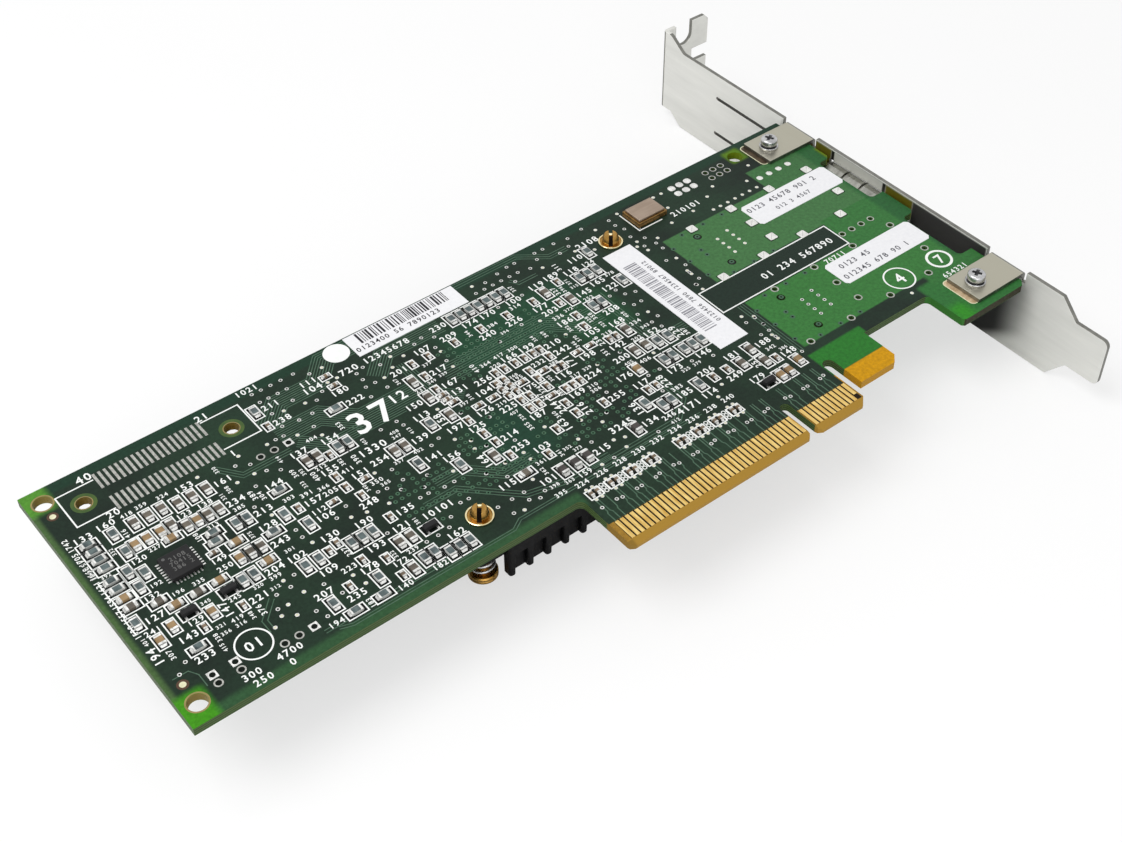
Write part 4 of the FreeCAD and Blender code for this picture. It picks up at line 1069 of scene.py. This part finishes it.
for level, (points, lines, pitch) in enumerate((
        (((-70, 58), (-66, 62), (-58, 62), (-54, 66.3), (-26, 66.3)), 9, 0.5),
        (((-70, 55), (-62, 55), (-57, 50), (-46, 50)), 10, 0.5),
        (((-68, 52), (-64, 48), (-50, 48)), 6, 0.5),
        (((-56, 30), (-51, 30), (-46, 25), (-40, 25)), 5, 0.55),
        (((-60, 27), (-54, 27), (-46, 19), (-40, 17.5), (-30, 17.5)), 3, 0.6),
        (((-49, 57), (-45, 61), (-33, 61)), 8, 0.5),
        (((-108, 22), (-105.5, 22), (-104.6, 20.5), (-104.6, 18)), 1, 0.5),
        (((-89, 26), (-92, 23), (-92, 20.6)), 2, 0.8),
        (((-86, 15.6), (-60, 15.6)), 2, 0.6),
        (((-84, 14.9), (-82, 14.2), (-52, 14.2), (-50, 15.4), (-12, 15.4)), 2, 0.5),
        (((-82, 55), (-79, 51), (-70, 51)), 3, 0.55),
        (((-26, 67.9), (-11, 67.9), (-6, 64), (-2, 64)), 3, 0.6),
        (((-16, 63), (-15, 61.4), (-11, 61.4)), 2, 0.6),
        (((-6, 50), (-6, 37), (-3, 34), (1, 34)), 4, 0.55),
        (((12, 31.5), (12, 16)), 3, 0.6),
        (((-9, 46), (-14, 46), (-18, 50), (-40, 50)), 9, 0.55),
        (((-40, 44), (-44, 48), (-44, 57)), 5, 0.5),
        (((-12, 26), (-12, 20), (-16, 16.6), (-34, 16.6)), 3, 0.6))):
    bundle(points, lines, pitch, height=TRACE + 0.0003 * level)
for place, x in enumerate(contact_xs):
    bent = x + 0.25 * (-1) ** place
    if place % 7 != 3:
        bundle(((x, 5.6), (x, 7.6), (bent, 8.1), (bent, 11.6)), 1, 0.5, 0.2)
piece("traces", threads, [trace_green], "board_laminate")

# %% [markdown]
# ## Solder joints
#
# Where a pin comes through, solder climbs it and sets as a low dome. A box with well-rounded corners and
# a pulled-up middle reads as that at this size.

# %% Domes of solder


def dome_pattern(side, tall, rounding, mark=0):
    """A low dome on a square base with rounded corners."""
    def build(bm):
        slab(bm, (-side / 2, -side / 2, 0.0), (side / 2, side / 2, tall), mark)
        upright = [e for e in bm.edges if abs(e.verts[0].co.z - e.verts[1].co.z) > tall / 2]
        bevel(bm, upright, rounding, 3)
        top = [f for f in bm.faces if f.normal.z > 0.9]
        bmesh.ops.inset_region(bm, faces=top, thickness=side * 0.2, use_even_offset=True)
        bmesh.ops.translate(bm, vec=(0, 0, tall * 0.5), verts=top[0].verts)
    return pattern(build)


square_joint = dome_pattern(1.8, 0.14, 0.3)
small_joint = dome_pattern(1.23, 0.13, 0.49)
round_joint = dome_pattern(1.5, 0.16, 0.6, 1)
for node in ("cage_solder_joints", "lead_solder_joints"):
    bm = bmesh.new()
    for low, high in parts_of(node):
        x, y = middle_of(low, high)
        joint = small_joint if y < PORT_TOP else round_joint
        if node == "cage_solder_joints":
            joint = square_joint
        stamp(bm, joint, x, y, FACE, rng.uniform(-0.05, 0.05))
    piece(node + "_dressed", bm, [bright_tin, tin], "solder", [node], smooth=50)

# %% [markdown]
# ## Gold contacts
#
# Edge contacts are copper plated with nickel and hard gold: a warm, slightly brushed metal. The strokes of
# the plating run along each finger, so the grain is stretched along Y.

# %% Gold
gold = finish("hard_gold", (206, 162, 78), (246, 218, 142), (0.2, 0.38), metal=1.0, scale=500, relief=0.00001,
              stretch=(4, 0.5, 1))
for node in ("edge_contacts_solder_side", "edge_contacts_component_side"):
    dress(node, gold)
    print(node, len(parts_of(node)), "contacts")

# %% [markdown]
# ## Labels
#
# Paper labels carry printed lines and a bar field. What they say is not part of this object, so the
# print is generic: plain numbers in place of words and a run of bars of seeded widths.

# %% Paper labels and their bars
PRINT = 0.108


def bars(start, end, widths, gaps):
    """Seeded bars, each given by where it begins and ends."""
    while start < end:
        width = rng.choice(widths)
        yield start, start + width
        start += width + rng.choice(gaps)


paper = finish("label_paper", (231, 231, 234), (238, 238, 240), (0.45, 0.6), scale=1500, relief=0.00001,
               gloss=0.3)
print_grey = finish("label_print", (28, 28, 32), (46, 46, 50), (0.5, 0.6), scale=900, gloss=0.2)
pale_grey = finish("label_pale_print", (128, 128, 134), (150, 150, 156), (0.5, 0.6), scale=900, gloss=0.2)
mid_grey = finish("label_mid_print", (84, 84, 90), (104, 104, 110), (0.5, 0.6), scale=900, gloss=0.2)
for node in ("label_upper_edge", "label_tall", "label_upper_port", "label_lower_port"):
    dress(node, paper)
bm = bmesh.new()
for left, right in bars(-46.4, -27.6, (0.16, 0.16, 0.3, 0.45), (0.18, 0.18, 0.3, 0.42)):
    patch(bm, left, 65.55, right, 68.4, PRINT, 0)
for low, high in bars(30.2, 52.8, (0.14, 0.14, 0.26, 0.38), (0.17, 0.17, 0.28, 0.4)):
    patch(bm, 2.4, low, 5.2, high, PRINT, 1)
piece("label_marks", bm, [print_grey, pale_grey], "label_paper")

# %% Numbers on the labels
for name, coat, lines in (
        ("label_dark_numbers", print_grey, (("0123400 56 7890123", -39.4, 64.5, 1.15, False),)),
        ("label_grey_numbers", mid_grey, (
            ("0123456 7890 1234567 89012", 6.4, 41.4, 0.95, True),
            ("0123 45678 901 2", 40.6, 50.8, 1.3, False), ("012 3 4567", 41.3, 48.2, 1.05, False),
            ("0123 45", 37.3, 28.0, 1.3, False), ("012345 678 90 1", 40.4, 25.3, 1.3, False)))):
    bm = bmesh.new()
    for text, x, y, tall, upright in lines:
        number(bm, text, x, y, tall, upright, PRINT)
    piece(name, bm, [coat], "label_paper")

# %% [markdown]
# ## The bracket
#
# A card bracket is stamped from plated sheet steel and folded, so all its edges are slightly rounded and its
# faces carry a fine rolling grain. The CAD solid has the folds and openings; a copy of it gets small bevels,
# which catch the light that a sharp edge can't. The plate mirrors the board and the dark room beyond it, and
# that is painted into its colour: its inner face has zones of painted reflection, painted shade and a painted
# highlight, in Y and Z, and the lower wing one slanted zone of painted reflection. The walls of its slits
# get a painted shade.

# %% Bracket steel
PLATE_FRONT = 57.3
PLATE_MIDDLE = 57.95
SLANT_Y = 1.56
SLANT_Z = 2.4


def pair(tree, across, up):
    """Two values as flat coordinates."""
    both = tree.nodes.new("ShaderNodeCombineXYZ")
    tree.links.new(across, both.inputs["X"])
    tree.links.new(up, both.inputs["Y"])
    return both.outputs[0]


plate_painted_light_zones = (
    # olive: painted reflection of the board, on either side of the fold
    (32.3, 39.4, -2.4, 1.1, 0.3, (104, 98, 24)),
    (54.0, 60.4, -2.4, 1.1, 0.3, (104, 98, 24)),
    # painted shade beside the flange
    (39.4, 54.0, -2.4, 1.1, 0.15, (30, 30, 28)),
    # the flange in plain steel over the painted shade
    (40.2, 53.2, -2.4, 1.1, 0.15, (206, 206, 198)),
    # painted highlight along the fold
    (41.2, 52.4, -1.5, -1.0, 0.12, (250, 250, 246)),
    # painted reflection of the dark cavity in the recess
    (14.0, 32.3, -5.5, 1.1, 0.25, (58, 57, 56)),
    # the tops of the ears darker and warmer
    (5.0, 13.4, 0.1, 0.95, 0.05, (176, 173, 158)),
    (59.0, 67.3, 0.1, 0.95, 0.05, (176, 173, 158)),
)
# painted reflection of the card's dark underside on the lower wing
wing_painted_reflection = ((4.6, 19.0, -25.7, 4.8, 4.8, (30, 30, 29)),)
steel = finish("bracket_steel", (209, 209, 204), (222, 222, 217), (0.32, 0.46), metal=1.0, scale=260,
               relief=0.000008, stretch=(1, 0.15, 1.4))
cut_steel = finish("cut_steel", (108, 108, 103), (136, 136, 130), (0.3, 0.45), metal=1.0, scale=600,
                   relief=0.00001)
# painted shade for the walls of the slits
slit_painted_shade = finish("slit_painted_shade", (60, 60, 56), (84, 84, 79), (0.4, 0.55), metal=1.0, scale=600)
tree = steel.node_tree
shader = tree.nodes["Principled BSDF"]
colour = shader.inputs["Base Color"].links[0].from_socket
axes = tree.nodes.new("ShaderNodeSeparateXYZ")
tree.links.new(in_millimetres(tree), axes.inputs[0])
run, up = axes.outputs["Y"], axes.outputs["Z"]
# painted reflections, painted shade and a painted highlight on the inner face
shaded = in_zones(tree, pair(tree, run, up), colour, plate_painted_light_zones)
slant = maths(tree, "ADD", maths(tree, "MULTIPLY", run, SLANT_Y), maths(tree, "MULTIPLY", up, SLANT_Z))
shaded = in_zones(tree, pair(tree, run, slant), shaded, wing_painted_reflection)
inner = maths(tree, "LESS_THAN", axes.outputs["X"], PLATE_MIDDLE)
plate = maths(tree, "GREATER_THAN", axes.outputs["X"], PLATE_FRONT)
tree.links.new(colour_mix(tree, inner, colour, shaded), shader.inputs["Base Color"])
inner_plate = maths(tree, "MULTIPLY", plate, inner)
tree.links.new(ranged(tree, inner_plate, 1.0, 0.3), shader.inputs["Metallic"])
print("zones of the plate", len(plate_painted_light_zones) + len(wing_painted_reflection))

# %% Bracket with soft edges
bm = solid_copy("bracket")
for face in bm.faces:
    longest = max(edge.calc_length() for edge in face.edges)
    is_edge = face.calc_area() / longest < 1.0
    middle = face.calc_center_median()
    # faces inside the slits get the painted shade
    in_slit = abs(face.normal.z) > 0.9 and 60 < middle.y < 100 and -16 < middle.z < 0.5
    face.material_index = (2 if in_slit else 1) if is_edge else 0
soften(bm, 0.1, 2)
piece("bracket_dressed", bm, [steel, cut_steel, slit_painted_shade], "bracket_steel", ["bracket"])

# %% Copper pads in front of the ears
RIM = 0.2
bm = bmesh.new()
for place, area in enumerate(((44.7, 60.0, 47.0, 67.0), (44.7, 5.7, 47.0, 13.1))):
    for grow, height, mark in ((RIM, 0.018, 2), (0.0, 0.022, place)):
        left, low, right, high = area
        corners = patch(bm, left - grow, low - grow, right + grow, high + grow, height, mark)
        bevel(bm, corners, 0.75 + grow, 5, "VERTICES")
bronze = finish("dark_copper", (74, 62, 48), (112, 96, 76), (0.3, 0.5), metal=0.6, scale=400)
tan_copper = finish("tinned_copper", (176, 144, 104), (222, 198, 164), (0.3, 0.5), metal=0.4, scale=900)
piece("ear_pads", bm, [bronze, tan_copper, cream], "solder")

# %% [markdown]
# ## Screws and washers
#
# A pan-head screw is a turned part: its half profile is spun once round the axis. The cross in the head is
# cut with a boolean from two crossed tapering bars, because spun geometry has no flat place to extrude from.

# %% Turned parts


def spun(profile, x, y, sides=40):
    """Turns a half profile of (radius, height) points once round an upright axis."""
    bm = bmesh.new()
    verts = [bm.verts.new((x + radius, y, height)) for radius, height in profile]
    edges = [bm.edges.new(ends) for ends in zip(verts, verts[1:])]
    bmesh.ops.spin(bm, geom=verts + edges, cent=(x, y, 0), axis=(0, 0, 1), angle=2 * math.pi, steps=sides,
                   use_merge=True)
    bmesh.ops.remove_doubles(bm, verts=bm.verts, dist=WELD)
    bmesh.ops.recalc_face_normals(bm, faces=bm.faces)
    return bm


def add_to(bm, part):
    """Joins a finished part into a larger bmesh."""
    mesh = bpy.data.meshes.new("part")
    part.to_mesh(mesh)
    part.free()
    bm.from_mesh(mesh)
    bpy.data.meshes.remove(mesh)


plated = finish("plated_fastener", (160, 160, 162), (200, 200, 200), (0.2, 0.36), metal=1.0, scale=900,
                relief=0.00002)
recess = finish("recess_shadow", (92, 92, 94), (124, 124, 126), (0.4, 0.55), metal=0.8, scale=900)
undercut = finish("undercut_shadow", (40, 40, 42), (58, 58, 60), (0.4, 0.55), metal=0.8, scale=900)
print("finishes", len(bpy.data.materials))

# %% Cuts


def cut(bm, tool):
    """The first solid less the second."""
    things = []
    for source in (bm, tool):
        mesh = bpy.data.meshes.new("cutting")
        source.to_mesh(mesh)
        source.free()
        for _ in range(3):
            mesh.materials.append(ink)
        thing = bpy.data.objects.new("cutting", mesh)
        scene.collection.objects.link(thing)
        things.append(thing)
    boolean = things[0].modifiers.new("cut", "BOOLEAN")
    boolean.object = things[1]
    boolean.operation = "DIFFERENCE"
    boolean.solver = "EXACT"
    bpy.context.view_layer.update()
    graph = bpy.context.evaluated_depsgraph_get()
    result = bpy.data.meshes.new_from_object(things[0].evaluated_get(graph))
    made = bmesh.new()
    made.from_mesh(result)
    bpy.data.meshes.remove(result)
    for thing in things:
        bpy.data.objects.remove(thing)
    return made


def cut_slot(bm, low, high, taper, turn, x, y):
    """Cuts a bar out of a turned part; the bar's lower end is narrower by a taper along and across."""
    tool = bmesh.new()
    bar = slab(tool, low, high, 1)
    middle = (low[2] + high[2]) / 2
    for vert in bar:
        if vert.co.z < middle:
            vert.co.x *= taper[0]
            vert.co.y *= taper[1]
    bmesh.ops.rotate(tool, verts=bar, cent=(0, 0, 0), matrix=Matrix.Rotation(turn, 3, "Z"))
    bmesh.ops.translate(tool, verts=bar, vec=(x, y, 0))
    return cut(bm, tool)


print("screws to cut", len(parts_of("bracket_screws")))

# %% Screws, washers and nuts
CROSS_TURN = 0.45
CROSS_HALF = 0.36
NECK = 0.22
HEAD = ((0, 0), (0.82, 0), (0.82, 0.18), (0.94, 0.26), (0.94, 0.72), (0.9, 0.86), (0.8, 0.95), (0.68, 1),
        (0, 1))
heads = bmesh.new()
washers = bmesh.new()
for (low, high), (foot, crown) in zip(parts_of("screw_washers"), parts_of("bracket_screws")):
    x, y = middle_of(low, high)
    base, top = high[2], crown[2]
    radius, tall = (crown[0] - foot[0]) / 2, top - base
    head = spun([(radius * across, base + tall * up) for across, up in HEAD], x, y)
    for face in head.faces:
        if face.calc_center_median().z < base + tall * NECK:
            face.material_index = 2
    arm = radius * 0.62
    for turn in (CROSS_TURN, CROSS_TURN + QUARTER):
        head = cut_slot(head, (-arm, -CROSS_HALF, top - 0.7), (arm, CROSS_HALF, top + 0.5), (0.6, 0.7), turn,
                        x, y)
    add_to(heads, head)
    slim = radius * 0.55
    shaft = ((0, foot[2]), (slim - 0.15, foot[2]), (slim, foot[2] + 0.2), (slim, base), (0, base))
    add_to(heads, spun(shaft, x, y, 20))
    outer, inner = (high[0] - low[0]) / 2, slim + 0.15
    washer = ((inner, low[2]), (outer - 0.05, low[2]), (outer, low[2] + 0.08), (outer, base - 0.1),
              (outer - 0.08, base), (inner, base), (inner, low[2]))
    add_to(washers, spun(washer, x, y))
head_finishes = [plated, recess, undercut]
piece("bracket_screws_dressed", heads, head_finishes, "fastener_steel", ["bracket_screws"], smooth=35)
piece("screw_washers_dressed", washers, [plated], "fastener_steel", ["screw_washers"], smooth=35)
bm = solid_copy("bracket_nuts")
soften(bm, 0.15, 2, 50)
piece("bracket_nuts_dressed", bm, [plated], "fastener_steel", ["bracket_nuts"])

# %% [markdown]
# ## Push pins
#
# The cooler hangs on two brass push pins: a split, domed barb snaps through the board and a coil spring pulls
# it back. The barb is spun, then split with the same boolean; the spring is a small circle that is spun
# several turns while it climbs.

# %% Barbs and springs
PIN_HEAD = ((0, 0), (2.3, 0), (2.55, 0.2), (2.55, 0.5), (2.4, 0.62), (2.55, 0.74), (2.55, 1.1), (2.35, 1.3),
            (1.33, 1.3))
PIN_BARB = ((1.33, 0.02), (2.26, 0.03), (2.34, 0.14), (2.32, 0.36), (2.2, 0.42), (2.05, 0.38), (1.95, 0.2),
            (1.62, 0.2), (1.62, 0.5), (1.58, 1.0), (1.4, 1.55))
BARB_SLIT = 0.38
SLIT_TURN = math.radians(-38)
WIRE = 0.26
COIL_RADIUS = 1.92
TURNS = 4
STEPS = 22 * TURNS
brass = finish("brass", (150, 112, 50), (182, 144, 80), (0.2, 0.4), metal=1.0, scale=700, relief=0.00002)
# painted highlight: paler, glossier brass for the barb's outer lip
brass_painted_highlight = finish("brass_painted_highlight", (226, 210, 158), (244, 232, 190), (0.14, 0.26), metal=1.0, scale=900)
slit = finish("slit_shadow", (26, 17, 9), (40, 27, 15), (0.6, 0.8), scale=800, gloss=0.1)
barbs = bmesh.new()
coils = bmesh.new()
for (low, high), (spring_low, spring_high) in zip(parts_of("push_pins"), parts_of("push_pin_springs")):
    x, y = middle_of(low, high)
    foot, tip = low[2], high[2]
    profile = [(radius, foot + up) for radius, up in PIN_HEAD]
    pin = spun(profile + list(PIN_BARB) + [(1.15, tip - 0.05), (0, tip)], x, y)
    # the barb's outer lip gets the painted highlight
    for face in pin.faces:
        middle = face.calc_center_median()
        if middle.z > 0 and math.hypot(middle.x - x, middle.y - y) > 1.97:
            face.material_index = 2
    pin = cut_slot(pin, (-BARB_SLIT, -1.7, 0.25), (BARB_SLIT, 1.7, tip + 1), (1, 1), SLIT_TURN, x, y)
    add_to(barbs, pin)
    coil = bmesh.new()
    begin = Matrix.Translation((x + COIL_RADIUS, y, spring_low[2] + WIRE)) @ Matrix.Rotation(QUARTER, 4, "X")
    bmesh.ops.create_circle(coil, cap_ends=True, segments=8, radius=WIRE, matrix=begin)
    wire_end = list(coil.faces) + list(coil.edges) + list(coil.verts)
    climb = (spring_high[2] - spring_low[2] - 2 * WIRE) / STEPS
    bmesh.ops.spin(coil, geom=wire_end, cent=(x, y, 0), axis=(0, 0, 1), dvec=(0, 0, climb),
                   angle=2 * math.pi * TURNS, steps=STEPS, use_merge=False, use_duplicate=False)
    bmesh.ops.recalc_face_normals(coil, faces=coil.faces)
    add_to(coils, coil)
piece("push_pins_dressed", barbs, [brass, slit, brass_painted_highlight], "push_pin_brass", ["push_pins"], smooth=35)
piece("push_pin_springs_dressed", coils, [plated], "fastener_steel", ["push_pin_springs"], smooth=60)

# %% [markdown]
# ## Cooler, oscillator and the parts of the other face
#
# The remaining solids have the right form, and only want the small roundings and the finish of the real
# thing: black anodised aluminium, a seam-welded lid on a gold-rimmed ceramic base, moulded chips and tinned
# sheet. The front edges of the cooler's fins are rounded more, as the saw leaves them.

# %% Soft-edged copies
anodised = finish("black_anodised", (4, 4, 5), (8, 8, 9), (0.4, 0.6), scale=600, relief=0.00002, gloss=0.12)
nickel = finish("cage_nickel", (128, 128, 122), (160, 160, 153), (0.25, 0.42), metal=1.0, scale=500,
                relief=0.00001, stretch=(0.3, 2, 2))
lid_metal = finish("oscillator_lid", (150, 132, 116), (172, 154, 138), (0.3, 0.45), metal=0.8, scale=500,
                   relief=0.00001, stretch=(0.3, 2, 1))
rim_gold = finish("gold_rim", (112, 84, 44), (150, 116, 66), (0.25, 0.4), metal=0.8, scale=900)
laminate = finish("package_laminate", (26, 62, 38), (38, 78, 48), (0.4, 0.55), scale=500)
lid_copper = finish("package_lid", (150, 148, 144), (172, 170, 166), (0.3, 0.45), metal=0.9, scale=500)
pad_grey = finish("thermal_pad", (150, 150, 156), (176, 176, 182), (0.7, 0.85), scale=900, relief=0.00003)
lens = finish("lens_plastic", (110, 160, 84), (132, 180, 102), (0.2, 0.3), scale=400)
capacitor_black = finish("capacitor_case", (30, 30, 33), (46, 46, 50), (0.4, 0.6), scale=700, relief=0.00002)
for node, width, segments, coat, slot in (
        ("oscillator_base", 0.12, 2, rim_gold, "ceramic_base"),
        ("oscillator_lid", 0.15, 2, lid_metal, "oscillator_lid"),
        ("indicator_block", 0.25, 2, moulding, "black_plastic"),
        ("host_connector", 0.12, 1, moulding, "black_plastic"),
        ("header_body", 0.1, 1, moulding, "black_plastic"),
        ("program_memory", 0.12, 2, moulding, "chip_plastic"),
        ("serial_memory", 0.12, 2, moulding, "chip_plastic"),
        ("power_switches", 0.12, 2, moulding, "chip_plastic"),
        ("power_inductors", 0.3, 2, ferrite, "ferrite"),
        ("polymer_capacitors", 0.2, 2, capacitor_black, "capacitor_plastic"),
        ("controller_lid", 0.25, 2, lid_copper, "package_lid"),
        ("indicator_lenses", 0.25, 3, lens, "lens_plastic"),
        ("header_pins", 0.06, 1, gold, "gold_plating")):
    bm = solid_copy(node)
    soften(bm, width, segments, 40)
    piece(node + "_dressed", bm, [coat], slot, [node])
bm = solid_copy("heat_sink")
front = min(v.co.y for v in bm.verts) + 0.1
fin_edges = [e for e in bm.edges if abs(e.verts[0].co.z - e.verts[1].co.z) > 3
             and max(v.co.y for v in e.verts) < front]
bevel(bm, fin_edges, 0.45, 3)
soften(bm, 0.1, 1, 50)
piece("heat_sink_dressed", bm, [anodised], "black_anodised", ["heat_sink"])
for node, coat in (("controller_substrate", laminate), ("thermal_pad", pad_grey), ("port_cage", nickel),
                   ("cage_spring_fingers", nickel), ("host_connector_leads", tin)):
    dress(node, coat)

# %% [markdown]
# ## Leads of the chips on the other face
#
# The memories and power switches stand on bent leads, too thin to matter for the CAD solids. Each is a foot
# on the board and a short leg up to the middle of the body, set in two rows.

# %% Gull-wing leads
bm = bmesh.new()
for node, along, pitch, leads, width in (
        ("program_memory", 0, 0.5, 20, 0.22),
        ("serial_memory", 1, 1.27, 4, 0.42),
        ("power_switches", 0, 1.27, 4, 0.42)):
    for low, high in parts_of(node):
        middle = [(a + b) / 2 for a, b in zip(low, high)]
        foot_and_leg = ((0.9, REAR - 0.2, REAR - 0.02), (0.4, middle[2] - 0.1, REAR - 0.15))
        for side in (-1, 1):
            edge = middle[along] + side * (high[along] - low[along]) / 2
            for i in range(leads):
                across = middle[1 - along] + (i - (leads - 1) / 2) * pitch
                for reach, bottom, top in foot_and_leg:
                    ends = sorted((edge - side * 0.05, edge + side * reach))
                    corners = [0, 0, bottom], [0, 0, top]
                    for corner, end, half in zip(corners, ends, (-width / 2, width / 2)):
                        corner[along] = end
                        corner[1 - along] = across + half
                    slab(bm, *corners)
piece("chip_leads", bm, [tin], "solder")

# %% [markdown]
# ## Print and rings of the other face
#
# Vias go right through the board, so their rings show on the component side too, wherever no part covers
# them. That face also has its white frames and numbers. The same helpers serve: the print is drawn as if
# that face lay on top, with y turned round, and is then rolled half a turn about X, so that its numbers read
# from below.

# %% Other face
marked = ("program_memory", "serial_memory", "power_switches", "power_inductors", "polymer_capacitors",
          "header_body")
covers = [(box, 0.5) for node in marked for box in parts_of(node)]
for node in ("heat_sink", "port_cage", "host_connector", "indicator_block", "component_side_chip_parts"):
    covers += [(box, 0.0) for box in parts_of(node)]
covers += [(((41.0, 59.0, 0), (57.0, 69.0, 0)), 0.0), (((41.0, 4.0, 0), (57.0, 14.0, 0)), 0.0)]


def bare_below(x, y, margin):
    """Is this spot of the component side clear of parts?"""
    return all(x < low[0] - margin - grow or x > high[0] + margin + grow or y < low[1] - margin - grow
               or y > high[1] + margin + grow for (low, high), grow in covers)


def can_write(x, y):
    """Is there room for a number of three digits at this spot of the component side?"""
    apart = all(abs(x - other_x) > 4.4 or abs(y - other_y) > 1.9 for other_x, other_y in written)
    within = -106 < x < 50 and 14 < y < 67
    return apart and within and bare_below(x - 1.6, y, 0.9) and bare_below(x + 1.6, y, 0.9)


written = []
rear_rings = bmesh.new()
for x, y in via_spots:
    if bare_below(x, y, 0.5):
        stamp(rear_rings, via, x, -y, RING)
for x, y in cage_places + port_leads:
    stamp(rear_rings, hole_rim, x, PORT_SPACING - y, RING)
rear_print = bmesh.new()
for order, node in enumerate((*marked, "component_side_chip_parts")):
    gaps = (1.2, 1.2) if node in marked else (0.75, 0.32)
    for place, (low, high) in enumerate(parts_of(node)):
        left, near, right, far = frame_of(low, high, *gaps)
        frame_line(rear_print, left, -near, right, -far, PEN)
        x, y = (left + right) / 2, (near + far) / 2
        for text_x, text_y in ((x, near - 1.0), (x, far + 1.0), (right + 2.2, y)):
            if can_write(text_x, text_y):
                number(rear_print, str(700 + 20 * order + place), text_x, -text_y, 1.3)
                written.append((text_x, text_y))
                break
roll_over = Matrix.Translation((0, 0, REAR)) @ Matrix.Rotation(math.pi, 4, "X")
for name, bm, coats, slot in (
        ("rings_of_component_side", rear_rings, [tin, dark_hole, tent, bare_tin], "solder"),
        ("print_of_component_side", rear_print, [ink], "board_laminate")):
    bmesh.ops.transform(bm, matrix=roll_over, verts=bm.verts)
    piece(name, bm, coats, slot)

# %% [markdown]
# ## Floor, light and camera
#
# The picture was taken from above the card's left lower corner with a long lens, on white. The floor is
# nearly white and touches the lowest point of the card. A large soft lamp and an even world give
# plain studio light; the white background is only what the camera and mirrors see of that world.

# %% Floor
FLOOR_GAP = 0.00005
FLOOR_GLOW = 0.6
bm = bmesh.new()
bmesh.ops.create_grid(bm, x_segments=1, y_segments=1, size=6.0,
                      matrix=Matrix.Translation((0, 0, cad_box[0][2] - FLOOR_GAP)))
mesh = bpy.data.meshes.new("floor")
bm.to_mesh(mesh)
bm.free()
floor = bpy.data.objects.new("floor", mesh)
scene.collection.objects.link(floor)
pale = finish("studio_floor", (246, 246, 246), (250, 250, 250), (0.8, 0.9), scale=3, gloss=0.1)
mesh.materials.append(pale)
tree = pale.node_tree
path = tree.nodes.new("ShaderNodeLightPath")
glow = tree.nodes.new("ShaderNodeEmission")
lift = tree.nodes.new("ShaderNodeMixShader")
tree.links.new(maths(tree, "MULTIPLY", path.outputs["Is Camera Ray"], FLOOR_GLOW), lift.inputs["Fac"])
tree.links.new(tree.nodes["Principled BSDF"].outputs[0], lift.inputs[1])
tree.links.new(glow.outputs[0], lift.inputs[2])
tree.links.new(lift.outputs[0], tree.nodes["Material Output"].inputs["Surface"])
print("floor at", round(cad_box[0][2] / MM, 2), "mm")

# %% World and lamps
WHITE = (1, 1, 1, 1)
FILL = 0.62
AIM = Vector((-0.02, 0.035, 0))
world = bpy.data.worlds.new("studio")
scene.world = world
world.use_nodes = True
tree = world.node_tree
path = tree.nodes.new("ShaderNodeLightPath")
seen = tree.nodes["Background"]
seen.inputs["Color"].default_value = WHITE
seen.inputs["Strength"].default_value = 1.0
fill = tree.nodes.new("ShaderNodeBackground")
fill.inputs["Color"].default_value = WHITE
fill.inputs["Strength"].default_value = FILL
direct = maths(tree, "MAXIMUM", path.outputs["Is Camera Ray"], path.outputs["Is Glossy Ray"])
direct = maths(tree, "MAXIMUM", direct, path.outputs["Is Transmission Ray"])
choose = tree.nodes.new("ShaderNodeMixShader")
tree.links.new(direct, choose.inputs["Fac"])
tree.links.new(fill.outputs[0], choose.inputs[1])
tree.links.new(seen.outputs[0], choose.inputs[2])
tree.links.new(choose.outputs[0], tree.nodes["World Output"].inputs["Surface"])
for name, place, size, watts in (("key", (-0.35, 0.15, 0.62), 0.45, 2.6),
                                 ("front", (-0.35, -0.55, 0.3), 0.5, 1.4)):
    data = bpy.data.lights.new(name, "AREA")
    data.size = size
    data.energy = watts
    lamp = bpy.data.objects.new(name, data)
    lamp.location = place
    lamp.rotation_mode = "QUATERNION"
    lamp.rotation_quaternion = (AIM - Vector(place)).to_track_quat("-Z", "Y")
    scene.collection.objects.link(lamp)
    print(name, "lamp of", watts, "W")

# %% [markdown]
# ## The camera
#
# Known lengths on the card, such as the pitch of its contacts, tell where the photograph was taken from.
# The camera stands at that point with the same focal length in pixels, so the picture and the photograph can
# be laid over each other. Three points of the card are printed as pixels, to compare.

# %% Camera
PHOTO = (1122, 842)
FOCAL_PIXELS = 1666.8
azimuth, elevation, roll = (math.radians(angle) for angle in (-38.113, 44.458, -0.518))
data = bpy.data.cameras.new("camera")
data.sensor_fit = "HORIZONTAL"
data.sensor_width = 36.0
data.lens = FOCAL_PIXELS * data.sensor_width / PHOTO[0]
data.clip_start, data.clip_end = 0.01, 20.0
camera = bpy.data.objects.new("camera", data)
scene.collection.objects.link(camera)
scene.camera = camera
level = math.cos(elevation)
back = Vector((math.sin(azimuth) * level, -math.cos(azimuth) * level, math.sin(elevation)))
camera.location = (-0.153621, -0.127321, 0.194463)
camera.rotation_mode = "QUATERNION"
camera.rotation_quaternion = (-back).to_track_quat("-Z", "Y") @ Quaternion((0, 0, 1), roll)
bpy.context.view_layer.update()
inverse = camera.matrix_world.inverted()
for label, point in (("key notch", (0, 0, 0)), ("left upper corner", (-0.110, 0.0689, 0)),
                     ("bracket top", (0.058, 0.105, 0.004))):
    seen_at = inverse @ Vector(point)
    column = PHOTO[0] / 2 + FOCAL_PIXELS * seen_at.x / -seen_at.z
    rank = PHOTO[1] / 2 - FOCAL_PIXELS * seen_at.y / -seen_at.z
    print(label, round(column, 1), round(rank, 1))
